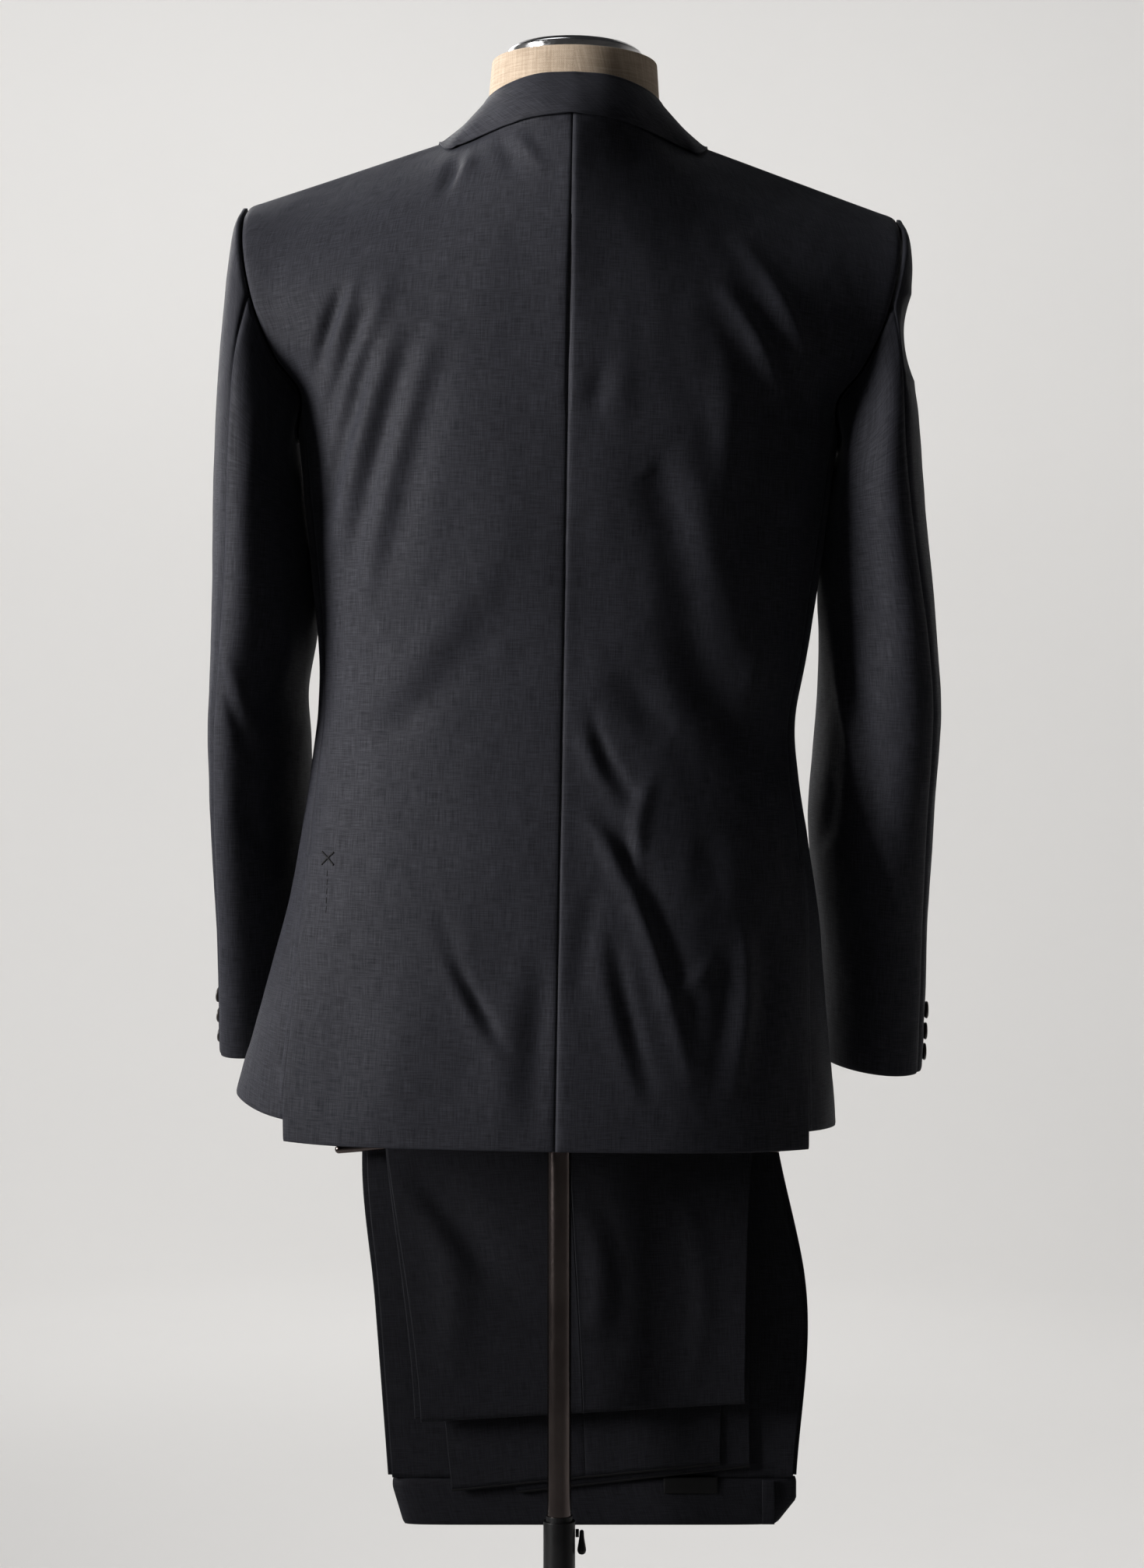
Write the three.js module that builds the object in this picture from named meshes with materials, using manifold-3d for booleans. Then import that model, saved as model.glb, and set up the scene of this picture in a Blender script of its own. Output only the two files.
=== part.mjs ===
// A two-piece business suit shown on a limbless dress form: the jacket is worn by the form, and the
// trousers are folded at the knee and hang over a bar under it. Millimetres, +Z up. The suit faces -Y,
// the wearer's left is +X, and the origin is on the pole's axis at the floor.
import * as THREE from 'three'
import { mergeVertices } from 'three/addons/utils/BufferGeometryUtils.js'
import Module from 'manifold-3d'

const wasm = await Module()
wasm.setup()

// ---- driving dimensions ----
const cloth = { wall: 1.6, seamGap: 0.32, layGap: 0.9 }
const jacket = {
  hem: 757, ventTop: 972, lowerTop: 1250, backArmhole: 1326, frontArmhole: 1318,
  squareness: 2.3, seamFromSide: 0.93, hemFade: 160,
  lean: 1.0, leanFrom: 900,
}
const ventLap = { width: 40, depth: 2.6 }
const front = { overlap: 18, breakAt: 1092, buttons: [1075, 975], cutaway: 92, cutawayFrom: 985 }
const neckCap = { radius: 53, rim: 1593.4, top: 1604 }
const pole = { radius: 9.5, wall: 1.5, bottom: 255, top: 790 }
const flange = { radius: 38, thick: 5, top: 795.4 }
const pipe = { radius: 12.5, wall: 1.8, bottom: 12, top: 454 }
const base = { radius: 195, edge: 7, crown: 12, hubRadius: 24, hubTop: 46 }
const bushing = { outer: 10.4, inner: 9.85, above: 4, below: 16 }
const bar = {
  radius: 3.5, y: -42, endHeight: 740, rise: 16, bend: 70, reach: 179, back: 184, returnHeight: 777,
}
const clamp = { outer: 16, inner: 9.8, bottom: 769, top: 785 }
const lever = { x: -17.6, pivot: 444, length: 17, thin: 1.8, fat: 3.8 }
const leg = { thick: 2.0, pitch: 2.7, kneeFold: 531, kneeSlope: 15 / 260, layerGap: 0.5 }
const waistband = { top: 474.3, bottom: 437, wall: 2.4, near: -52.4, far: -67 }
const button = { frontRadius: 10, frontThick: 3.6, cuffRadius: 7, cuffThick: 2.8, cuffPitch: 17 }

// Body of the jacket from the hem up: half widths to the wearer's left and right, and depths of the
// centre back and the centre front.
const bodySections = [
  { z: 740, left: 256, right: 220, back: 122, front: 128 },
  { z: 790, left: 249, right: 216, back: 121, front: 127 },
  { z: 840, left: 236, right: 211, back: 119, front: 125 },
  { z: 890, left: 223, right: 206, back: 116, front: 122 },
  { z: 940, left: 210, right: 201, back: 112, front: 119 },
  { z: 1000, left: 201, right: 191, back: 106, front: 115 },
  { z: 1040, left: 196, right: 184, back: 101, front: 113 },
  { z: 1080, left: 192, right: 181, back: 98, front: 112 },
  { z: 1130, left: 192, right: 189, back: 101, front: 117 },
  { z: 1190, left: 198, right: 197, back: 110, front: 124 },
  { z: 1250, left: 205, right: 205, back: 118, front: 129 },
  { z: 1330, left: 214, right: 214, back: 124, front: 130 },
]
// Share of the half width at which the back panel ends, on either side.
const backSeam = [
  { z: 740, left: 0.80, right: 0.87 },
  { z: 860, left: 0.87, right: 0.905 },
  { z: 980, left: 0.95, right: 0.945 },
  { z: 1100, left: 0.965, right: 0.965 },
  { z: 1330, left: 0.965, right: 0.965 },
]
const hemRise = { left: 26, right: 8 }
// At each vent the back hangs lower and the side panel is cut shorter.
const ventHang = {
  left: { back: -6, side: 9.5 },
  right: { back: -4, side: 9 },
}
const bodyRows = [757, 790, 830, 872, 920, 972, 1020, 1075, 1130, 1190, 1250]

// The armhole, from the shoulder tip down its back edge, under the arm and up the front.
const armhole = [
  { x: 252, y: 2, z: 1477 }, { x: 254, y: 24, z: 1463 }, { x: 252.5, y: 43, z: 1440 },
  { x: 247, y: 56, z: 1411 }, { x: 238, y: 61, z: 1381 }, { x: 224, y: 56, z: 1351 },
  { x: 207, y: 41, z: 1326 }, { x: 209.5, y: 20, z: 1303 }, { x: 209.5, y: -4, z: 1293 },
  { x: 209, y: -27, z: 1299 }, { x: 206, y: -45, z: 1318 }, { x: 206, y: -62, z: 1345 },
  { x: 213, y: -70, z: 1374 }, { x: 226, y: -66, z: 1405 }, { x: 240, y: -48, z: 1436 },
  { x: 250, y: -23, z: 1462 },
]
const backRows = 6
// Neck seam from centre back to the neck point, then the shoulder seam to the tip.
const neckSeam = [
  { x: 0, y: 93, z: 1538 }, { x: 31, y: 88, z: 1538 }, { x: 59, y: 62, z: 1538 }, { x: 76, y: 10, z: 1537 },
]
const centreBack = [
  { x: 0, y: 124, z: 1326 }, { x: 0, y: 126, z: 1370 }, { x: 0, y: 124, z: 1412 },
  { x: 0, y: 118, z: 1452 }, { x: 0, y: 108, z: 1496 }, { x: 0, y: 93, z: 1538 },
]
// Roll line of the lapel from the front armhole level to the neck point.
const rollLine = [
  { x: 40, y: -127, z: 1318 }, { x: 49, y: -120, z: 1376 }, { x: 57, y: -104, z: 1432 },
  { x: 64, y: -78, z: 1480 }, { x: 71, y: -38, z: 1518 }, { x: 76, y: 10, z: 1537 },
]
// Fold at the top of the collar, and the free edge of its leaf, from centre back to the gorge.
const collarFold = [
  { x: 0, y: 79, z: 1567 }, { x: 28, y: 74, z: 1566 }, { x: 52.5, y: 57, z: 1561.5 },
  { x: 68, y: 31, z: 1556 }, { x: 74, y: -2, z: 1549 }, { x: 76, y: -35, z: 1534 },
  { x: 74, y: -67, z: 1510 }, { x: 69, y: -92, z: 1475 },
]
const collarEdge = [
  { x: 0, y: 99.5, z: 1533 }, { x: 37, y: 95, z: 1532 }, { x: 69, y: 76, z: 1528 },
  { x: 91, y: 45, z: 1526 }, { x: 99, y: 5, z: 1532 }, { x: 108, y: -36, z: 1518 },
  { x: 119, y: -72, z: 1487 }, { x: 128, y: -98, z: 1447 },
]
// Sleeve sections below the armhole: centre, thin and long half axes, turn of the back end outwards in
// degrees, and lift of the front edge.
const sleeveSections = {
  left: [
    { z: 1250, x: 243, y: 2, thin: 30, long: 84, turn: 5, lift: 0 },
    { z: 1200, x: 242, y: 0, thin: 30, long: 80, turn: 8, lift: 0 },
    { z: 1150, x: 240.5, y: -4, thin: 31, long: 76, turn: 12, lift: 0 },
    { z: 1100, x: 239, y: -10, thin: 32, long: 73, turn: 14, lift: 1 },
    { z: 1060, x: 238.5, y: -18, thin: 31.5, long: 70, turn: 18, lift: 2 },
    { z: 1010, x: 237.5, y: -32, thin: 30, long: 67, turn: 22, lift: 3 },
    { z: 960, x: 235, y: -50, thin: 29, long: 63, turn: 27, lift: 5 },
    { z: 910, x: 233, y: -72, thin: 28, long: 59, turn: 33, lift: 7 },
    { z: 860, x: 233.5, y: -95, thin: 28, long: 56, turn: 37, lift: 9 },
    { z: 812, x: 234, y: -118, thin: 28, long: 54, turn: 40, lift: 10 },
  ],
  right: [
    { z: 1250, x: 245, y: 2, thin: 31, long: 84, turn: 6, lift: 0 },
    { z: 1200, x: 246, y: 0, thin: 34, long: 80, turn: 11, lift: 0 },
    { z: 1150, x: 246.5, y: -4, thin: 37.5, long: 76, turn: 16, lift: 0 },
    { z: 1100, x: 247, y: -10, thin: 41, long: 73, turn: 20, lift: 1 },
    { z: 1060, x: 246, y: -17, thin: 41, long: 70, turn: 23, lift: 2 },
    { z: 1010, x: 246.5, y: -28, thin: 40, long: 67, turn: 25, lift: 3 },
    { z: 960, x: 247, y: -41, thin: 38, long: 63, turn: 27, lift: 5 },
    { z: 910, x: 249, y: -55, thin: 36, long: 59, turn: 28, lift: 7 },
    { z: 860, x: 251, y: -68, thin: 35, long: 56, turn: 29, lift: 9 },
    { z: 812, x: 252, y: -80, thin: 34, long: 54, turn: 30, lift: 10 },
  ],
}
const sleeve = { capRows: 6, capBulge: 5, hindSeamTop: 0.145, hindSeamCuff: 0.19, foreSeam: 0.70 }

// The linen form: half width, centre back and centre front depths.
const formSections = [
  { z: 796, half: 152, back: 86, front: 93 },
  { z: 804, half: 160, back: 94, front: 100 },
  { z: 850, half: 166, back: 100, front: 103 },
  { z: 910, half: 168, back: 97, front: 103 },
  { z: 970, half: 163, back: 90, front: 99 },
  { z: 1030, half: 155, back: 83, front: 95 },
  { z: 1080, half: 150, back: 79, front: 93 },
  { z: 1130, half: 153, back: 82, front: 97 },
  { z: 1190, half: 163, back: 91, front: 105 },
  { z: 1250, half: 174, back: 99, front: 112 },
  { z: 1320, half: 188, back: 105, front: 113 },
  { z: 1370, half: 200, back: 102, front: 104 },
  { z: 1410, half: 206, back: 92, front: 88 },
  { z: 1440, half: 204, back: 78, front: 68 },
  { z: 1462, half: 194, back: 62, front: 47 },
  { z: 1480, half: 172, back: 52, front: 34 },
  { z: 1494, half: 142, back: 50, front: 32 },
  { z: 1507, half: 112, back: 54, front: 40 },
  { z: 1520, half: 80, back: 60, front: 46 },
  { z: 1536, half: 68.5, back: 65, front: 56 },
  { z: 1560, half: 67, back: 65, front: 62 },
  { z: 1593, half: 64.5, back: 64, front: 64 },
]

// Edges of the trouser legs along the folded path, as x of the wearer's left and right side.
const legEdges = {
  outer: [
    { at: 0, left: 86, right: -128 }, { at: 1, left: 112, right: -134 }, { at: 2, left: 110, right: -148 },
    { at: 3, left: 99, right: -147 }, { at: 4, left: 127, right: -153 }, { at: 5, left: 158, right: -175 },
    { at: 6, left: 148, right: -199 }, { at: 7, left: 138, right: -190.5 },
  ],
  inner: [
    { at: 0, left: 34, right: -152 }, { at: 1, left: 116, right: -150 }, { at: 2, left: 117, right: -150 },
    { at: 3, left: 115, right: -146 }, { at: 4, left: 138, right: -150 }, { at: 5, left: 154, right: -170 },
    { at: 6, left: 144, right: -195 }, { at: 7, left: 134, right: -187 },
  ],
}

// ---- finishes ----
const finish = {
  wool: { color: 0x2b2c31, roughness: 0.85, metalness: 0 },
  horn: { color: 0x1c1a19, roughness: 0.4, metalness: 0 },
  linen: { color: 0xb9a182, roughness: 0.9, metalness: 0 },
  chrome: { color: 0xb8b8ba, roughness: 0.15, metalness: 1 },
  bronze: { color: 0x4a3a33, roughness: 0.3, metalness: 1 },
  black: { color: 0x141414, roughness: 0.45, metalness: 0.6 },
  label: { color: 0x0d0d0f, roughness: 0.7, metalness: 0 },
}
const material = (key) => new THREE.MeshStandardMaterial(finish[key])

// ---- small tools ----
const vec = (p) => new THREE.Vector3(p.x, p.y, p.z)
const mix = (a, b, t) => a + (b - a) * t
const smooth = (t) => t * t * (3 - 2 * t)
const clamp01 = (t) => Math.min(1, Math.max(0, t))
const range = (n) => Array.from({ length: n }, (_, i) => i)

// Smooth curve through evenly counted points, with u running from 0 to the last index.
function through(points, u, key) {
  const last = points.length - 1
  const i = Math.min(Math.floor(clamp01(u / last) * last), last - 1)
  const t = u - i
  const at = (k) => points[Math.min(last, Math.max(0, k))][key]
  const slopeA = (at(i + 1) - at(i - 1)) / (i === 0 ? 1 : 2)
  const slopeB = (at(i + 2) - at(i)) / (i + 1 === last ? 1 : 2)
  const h = [
    2 * t ** 3 - 3 * t ** 2 + 1, t ** 3 - 2 * t ** 2 + t, -2 * t ** 3 + 3 * t ** 2, t ** 3 - t ** 2,
  ]
  return h[0] * at(i) + h[1] * slopeA + h[2] * at(i + 1) + h[3] * slopeB
}
const along = (points, u) =>
  new THREE.Vector3(through(points, u, 'x'), through(points, u, 'y'), through(points, u, 'z'))

// A column of a section table read at any height.
function read(table, z, key, by = 'z') {
  const rising = table[0][by] < table[1][by]
  let i = table.findIndex((row) => (rising ? row[by] > z : row[by] < z)) - 1
  if (i < 0) i = (rising ? z < table[0][by] : z > table[0][by]) ? 0 : table.length - 2
  const t = (z - table[i][by]) / (table[i + 1][by] - table[i][by])
  return through(table, i + clamp01(t), key)
}

function geometryFrom(points, faces) {
  const made = new THREE.BufferGeometry()
  made.setAttribute('position', new THREE.Float32BufferAttribute(points.flatMap((p) => p.toArray()), 3))
  made.setIndex(faces.flat())
  return made
}

const turned = (faces) => faces.map(([a, b, c]) => [a, c, b])
function volumeOf(points, faces) {
  return faces.reduce((sum, [a, b, c]) => {
    return sum + points[a].dot(new THREE.Vector3().crossVectors(points[b], points[c])) / 6
  }, 0)
}

// A closed wall of cloth under a grid of outer points. The wall lies on the side away from `out`, a
// function that gives a rough outward direction at a point.
function clothWall(grid, out, wall = cloth.wall, edgeNormal = null) {
  const rows = grid.length
  const cols = grid[0].length
  const at = (j, i) => grid[Math.min(rows - 1, Math.max(0, j))][Math.min(cols - 1, Math.max(0, i))]
  const outer = grid.flat()
  const inner = grid.flatMap((row, j) => row.map((p, i) => {
    const across = at(j, i + 1).clone().sub(at(j, i - 1))
    const up = at(j + 1, i).clone().sub(at(j - 1, i))
    let normal = new THREE.Vector3().crossVectors(across, up).normalize()
    if (out && normal.dot(out(p)) < 0) normal.negate()
    if (edgeNormal) normal = edgeNormal(j, i, normal)
    return p.clone().addScaledVector(normal, -wall)
  }))
  const n = rows * cols
  const quads = []
  for (const j of range(rows - 1)) {
    for (const i of range(cols - 1)) {
      const a = j * cols + i
      quads.push([a, a + 1, a + cols + 1, a + cols])
      quads.push([n + a, n + a + cols, n + a + cols + 1, n + a + 1])
    }
  }
  const rim = [
    ...range(cols), ...range(rows - 1).map((j) => (j + 2) * cols - 1),
    ...range(cols - 1).map((i) => rows * cols - 2 - i),
    ...range(rows - 2).map((j) => (rows - 2 - j) * cols),
  ]
  rim.forEach((a, k) => {
    const b = rim[(k + 1) % rim.length]
    quads.push([a, n + a, n + b, b])
  })
  const points = [...outer, ...inner]
  let faces = quads.flatMap(([a, b, c, d]) => [[a, b, c], [a, c, d]])
  if (volumeOf(points, faces) < 0) faces = turned(faces)
  return geometryFrom(points, faces)
}

// Half of a seam's gap is taken off every edge of a grid.
function trimmed(grid, gap = cloth.seamGap / 2) {
  const rows = grid.length
  const cols = grid[0].length
  const moved = grid.map((row) => row.map((p) => p.clone()))
  const pull = (j, i, j2, i2) => {
    const step = grid[j2][i2].clone().sub(grid[j][i])
    moved[j][i].addScaledVector(step.normalize(), gap)
  }
  for (const j of range(rows)) { pull(j, 0, j, 1); pull(j, cols - 1, j, cols - 2) }
  for (const i of range(cols)) { pull(0, i, 1, i); pull(rows - 1, i, rows - 2, i) }
  return moved
}

// A solid through closed rings of points, with flat ends.
function loft(rings) {
  const count = rings[0].length
  const points = rings.flat()
  const faces = []
  for (const j of range(rings.length - 1)) {
    for (const i of range(count)) {
      const a = j * count + i
      const b = j * count + ((i + 1) % count)
      faces.push([a, b, b + count], [a, b + count, a + count])
    }
  }
  for (const [j, flip] of [[0, true], [rings.length - 1, false]]) {
    const middle = rings[j].reduce((sum, p) => sum.add(p), new THREE.Vector3()).divideScalar(count)
    const hub = points.push(middle) - 1
    for (const i of range(count)) {
      const a = j * count + i
      const b = j * count + ((i + 1) % count)
      faces.push(flip ? [hub, b, a] : [hub, a, b])
    }
  }
  return geometryFrom(points, volumeOf(points, faces) < 0 ? turned(faces) : faces)
}

function toSolid(shape) {
  const plain = shape.clone()
  plain.deleteAttribute('normal')
  plain.deleteAttribute('uv')
  const merged = mergeVertices(plain, 1e-4)
  return new wasm.Manifold(new wasm.Mesh({
    numProp: 3,
    vertProperties: new Float32Array(merged.attributes.position.array),
    triVerts: new Uint32Array(merged.index.array),
  }))
}
function toGeometry(solid) {
  const mesh = solid.getMesh()
  const made = new THREE.BufferGeometry()
  made.setAttribute('position', new THREE.Float32BufferAttribute(mesh.vertProperties, 3))
  made.setIndex(Array.from(mesh.triVerts))
  return made
}
const joined = (...shapes) => toGeometry(shapes.map(toSolid).reduce((sum, next) => sum.add(next)))
const cut = (shape, ...tools) => (
  toGeometry(tools.map(toSolid).reduce((left, next) => left.subtract(next), toSolid(shape))))

function add(group, name, geometry, key) {
  const mesh = new THREE.Mesh(geometry, material(key))
  mesh.name = name
  group.add(mesh)
  return mesh
}

// ---- jacket ----
const sides = [{ name: 'left', sign: 1 }, { name: 'right', sign: -1 }]
const power = 2 / jacket.squareness

// Point of the jacket's body at an angle in degrees from the centre back, towards the given side.
function bodyPoint(side, angle, z, inset = 0) {
  const turn = THREE.MathUtils.degToRad(angle)
  const half = read(bodySections, z, side.name) - inset
  const depth = read(bodySections, z, Math.cos(turn) > 0 ? 'back' : 'front') - inset
  const x = half * Math.abs(Math.sin(turn)) ** power
  const y = Math.sign(Math.cos(turn)) * depth * Math.abs(Math.cos(turn)) ** power
  return new THREE.Vector3(side.sign * x * Math.sign(Math.sin(turn) || 1), y, z)
}
const angleAtShare = (share) => THREE.MathUtils.radToDeg(Math.asin(share ** (1 / power)))
const backSeamAngle = (side, z) => angleAtShare(read(backSeam, z, side.name))
const frontSeamAngle = 180 - angleAtShare(jacket.seamFromSide + 0.035)
function hemLift(side, angle, z) {
  const fade = clamp01(1 - (z - jacket.hem) / jacket.hemFade)
  return hemRise[side.name] * Math.sin(THREE.MathUtils.degToRad(angle)) ** 6 * fade
}
const ventDrop = (side, key, share, z) => (
  ventHang[side.name][key] * share * clamp01(1 - (z - jacket.hem) / 170))
// The armhole meets the two side seams on the body's own ring.
const armholeOf = Object.fromEntries(sides.map((side) => {
  const corners = {
    6: bodyPoint(side, backSeamAngle(side, jacket.backArmhole), jacket.backArmhole),
    10: bodyPoint(side, frontSeamAngle, jacket.frontArmhole),
  }
  const onRing = (p, corner) => ({ ...p, x: Math.abs(corner.x), y: corner.y })
  const list = armhole.map((p, k) => (corners[k] ? onRing(p, corners[k]) : p))
  return [side.name, [...list, list[0]]]
}))
const armholePoint = (side, k) => {
  const count = armhole.length
  const p = along(armholeOf[side.name], ((k % count) + count) % count)
  p.x *= side.sign
  return p
}
const fromAxis = (p) => new THREE.Vector3(p.x, p.y, 0)
const upAndOut = (p) => new THREE.Vector3(p.x * 0.3, p.y, p.z > 1400 ? (p.z - 1400) * 1.2 : 0)

// A patch between four edges: bottom and top run across, start and end run up.
function patch(bottom, top, start, end, cols, rows) {
  return range(rows + 1).map((j) => range(cols + 1).map((i) => {
    const s = i / cols
    const q = j / rows
    const lift = q * q * (1.6 - 0.6 * q)
    const point = bottom(s).multiplyScalar(1 - lift).addScaledVector(top(s), lift)
    for (const [edge, share] of [[start, 1 - s], [end, s]]) {
      const corner = edge(0).multiplyScalar(1 - lift).addScaledVector(edge(1), lift)
      point.addScaledVector(edge(q).sub(corner), share)
    }
    return point
  }))
}

// Outward direction of the body's ring at a point, shared by panels that meet at a seam.
function ringNormal(side, p) {
  const half = read(bodySections, p.z, side.name)
  const depth = read(bodySections, p.z, p.y > 0 ? 'back' : 'front')
  const steep = jacket.squareness - 1
  return new THREE.Vector3(
    Math.sign(p.x) * Math.abs(p.x / half) ** steep / half,
    Math.sign(p.y) * Math.abs(p.y / depth) ** steep / depth, 0,
  ).normalize()
}

const shoulderTip = vec(armhole[0])
const mirrored = (p, side) => new THREE.Vector3(p.x * side.sign, p.y, p.z)
const neckPoint = vec(neckSeam[3])

// Rows above the lower body, up to a level that differs between the back and the front.
const risingRows = (top) => [...bodyRows, mix(jacket.lowerTop, top, 0.5), top]

function backPanel(side) {
  const cols = 8
  const lower = risingRows(jacket.backArmhole).map((z) => range(cols + 1).map((i) => {
    const height = z + ventDrop(side, 'back', (i / cols) ** 3, z)
    const angle = backSeamAngle(side, height) * i / cols
    const seam = i === cols ? armholePoint(side, backRows) : null
    const point = bodyPoint(side, angle, height + hemLift(side, angle, height))
    return seam && z === jacket.backArmhole ? seam : point
  }))
  const top = (s) => mirrored(s <= 0.375
    ? along(neckSeam, s * 8)
    : neckPoint.clone().lerp(shoulderTip, (s - 0.375) / 0.625), side)
  const bottom = (s) => {
    const row = lower[lower.length - 1]
    return row[Math.round(s * cols)].clone()
  }
  const upper = patch(
    bottom, top,
    (q) => along(centreBack, q * 5),
    (q) => armholePoint(side, backRows * (1 - q)),
    cols, backRows,
  )
  const grid = trimmed([...lower, ...upper.slice(1)])
  const last = grid.length - 1
  const ridge = new THREE.Vector3(side.sign * 0.32, 0.08, 0.94).normalize()
  return clothWall(grid, upAndOut, cloth.wall, (j, i, normal) => {
    if (j < bodyRows.length + (i === cols ? 2 : 0)) return ringNormal(side, grid[j][i])
    if (i === 0) normal.setX(0).normalize()
    return j === last && i > 2 ? ridge : normal
  })
}

function frontEdgeX(z) {
  const drop = clamp01((front.cutawayFrom - z) / (front.cutawayFrom - jacket.hem))
  return -front.overlap + front.cutaway * drop ** 2.3
}

// The left front laps over the right one below the roll line.
function frontGrid(side) {
  const cols = 8
  const inset = side.name === 'left' ? 0 : cloth.wall + cloth.layGap
  const edgeX = (z) => (z < front.breakAt ? frontEdgeX(z) : mix(-front.overlap, rollLine[0].x,
    (z - front.breakAt) / (jacket.frontArmhole - front.breakAt)))
  const lapFade = (z) => inset * smooth(clamp01((1318 - z) / 90))
  const lower = risingRows(jacket.frontArmhole).map((z) => range(cols + 1).map((i) => {
    const s = i / cols
    const half = read(bodySections, z, side.name)
    const depth = read(bodySections, z, 'front')
    if (s === 1 && z === jacket.frontArmhole) return armholePoint(side, 10)
    const start = edgeX(z)
    const turn = THREE.MathUtils.degToRad((180 - frontSeamAngle) * s)
    const ringX = half * Math.sin(turn) ** power
    const x = mix(start, ringX, clamp01(s * 1.6))
    const y = -depth * (1 - Math.min(1, Math.abs(x) / half) ** jacket.squareness) ** (1 / jacket.squareness)
    if (s === 1) return bodyPoint(side, frontSeamAngle, z + hemLift(side, frontSeamAngle, z))
    const point = new THREE.Vector3(side.sign * x, y, z)
    point.y += lapFade(z) * (1 - smooth(clamp01(4 * s - 1)))
    point.z += hemLift(side, frontSeamAngle, z) * s * s
    return point
  }))
  const bottom = (s) => lower[lower.length - 1][Math.round(s * cols)].clone()
  const upper = patch(
    bottom,
    (s) => mirrored(neckPoint.clone().lerp(shoulderTip, s), side),
    (q) => mirrored(along(rollLine, q * 5), side),
    (q) => armholePoint(side, 10 + 6 * q),
    cols, 6,
  )
  return [...lower, ...upper.slice(1)]
}
function frontPanel(side) {
  const grid = trimmed(frontGrid(side))
  const last = grid.length - 1
  const ridge = new THREE.Vector3(side.sign * 0.32, 0.08, 0.94).normalize()
  const above = (p) => Math.max(0, p.z - 1400) * 1.2
  const outFront = (p) => new THREE.Vector3(p.x * 0.3, -Math.abs(p.y) - 20, above(p))
  return clothWall(grid, outFront, cloth.wall, (j, i, normal) => {
    if (j < bodyRows.length + (i > 7 ? 2 : 0) && i > 6) return ringNormal(side, grid[j][i])
    return j === last ? ridge : normal
  })
}

// Depth of the outermost cloth of a front at a place seen from the front.
const frontFaces = Object.fromEntries(sides.map((side) => {
  const grid = frontGrid(side)
  const cols = grid[0].length
  const faces = range(grid.length - 1).flatMap((j) => range(cols - 1).flatMap((i) => {
    const a = j * cols + i
    return [[a, a + 1, a + cols + 1], [a, a + cols + 1, a + cols]]
  }))
  const bothSides = new THREE.MeshBasicMaterial({ side: THREE.DoubleSide })
  return [side.name, new THREE.Mesh(geometryFrom(grid.flat(), faces), bothSides)]
}))
function frontDepth(side, x, z) {
  const ray = new THREE.Raycaster(new THREE.Vector3(side.sign * x, -500, z), new THREE.Vector3(0, 1, 0))
  const hit = ray.intersectObject(frontFaces[side.name])[0]
  return hit ? hit.point.y : null
}

function sidePanel(side) {
  const cols = 4
  const rows = bodyRows.length + 2
  const grid = range(rows).map((j) => range(cols + 1).map((i) => {
    const u = i / cols
    const rim = armholePoint(side, backRows + 4 * u)
    const above = (j - bodyRows.length + 1) / 2
    const level = j < bodyRows.length ? bodyRows[j] : mix(jacket.lowerTop, rim.z, above)
    const z = level + ventDrop(side, 'side', 1 - u, level)
    const angle = mix(backSeamAngle(side, z), frontSeamAngle, u)
    const point = bodyPoint(side, angle, z + hemLift(side, angle, z))
    const pull = smooth(clamp01((j - bodyRows.length + 1) / 2))
    const miss = rim.clone().sub(bodyPoint(side, mix(backSeamAngle(side, rim.z), frontSeamAngle, u), rim.z))
    return point.addScaledVector(miss, pull)
  }))
  const outer = trimmed(grid)
  const panel = clothWall(outer, fromAxis, cloth.wall, (j, i, normal) => (
    j < bodyRows.length || i === 0 || i === cols ? ringNormal(side, outer[j][i]) : normal))
  const lapRows = bodyRows.filter((z) => z <= jacket.ventTop)
  const lap = lapRows.map((level) => level + ventDrop(side, 'side', 1, level)).map((z) => [
    { shift: -ventLap.width, depth: ventLap.depth }, { shift: -ventLap.width / 2, depth: ventLap.depth },
    { shift: -3, depth: ventLap.depth }, { shift: 9, depth: 0.35 },
  ].map((column) => {
    const seam = backSeamAngle(side, z)
    const perDegree = bodyPoint(side, seam - 1, z).distanceTo(bodyPoint(side, seam, z))
    const angle = seam + column.shift / perDegree
    return bodyPoint(side, angle, z + hemLift(side, angle, z) + 1, column.depth)
  }))
  return joined(panel, clothWall(lap, fromAxis))
}

// The lapel lies on its front: the roll edge, the outer edge and the notch at the top. The right one
// starts where it comes out from under the left front.
function lapel(side) {
  const rows = 12
  const cols = 4
  const startZ = side.name === 'left' ? front.breakAt : front.breakAt + 82
  const topU = 2.7
  const grid = range(rows + 1).map((j) => range(cols + 1).map((i) => {
    const t = j / rows
    const z0 = mix(startZ, jacket.frontArmhole, clamp01(t / 0.64))
    const risen = (z0 - front.breakAt) / (jacket.frontArmhole - front.breakAt)
    const rollX = mix(-front.overlap, rollLine[0].x, risen)
    const upper = along(rollLine, clamp01((t - 0.64) / 0.36) * topU)
    const inner = t < 0.64 ? { x: rollX, z: z0 } : upper
    const rounding = Math.sin(Math.PI / 2 * clamp01((inner.z - startZ + 4) / (1430 - startZ)))
    const spread = 5 + 80 * rounding ** 0.9 * (t > 0.86 ? 1 - (t - 0.86) : 1)
    const x = inner.x + 0.8 + spread * i / cols
    const z = inner.z - 14 * (i / cols) * smooth(t)
    const y = frontDepth(side, x, z) ?? inner.y ?? -127
    const swell = 2.4 * Math.sin(Math.PI * Math.min(1, 0.15 + 0.8 * i / cols)) + 1.6 * smooth(t)
    return new THREE.Vector3(side.sign * x, y - cloth.wall - cloth.layGap - 0.5 - swell, z)
  }))
  return clothWall(grid, () => new THREE.Vector3(0, -1, 0.2))
}

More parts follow.
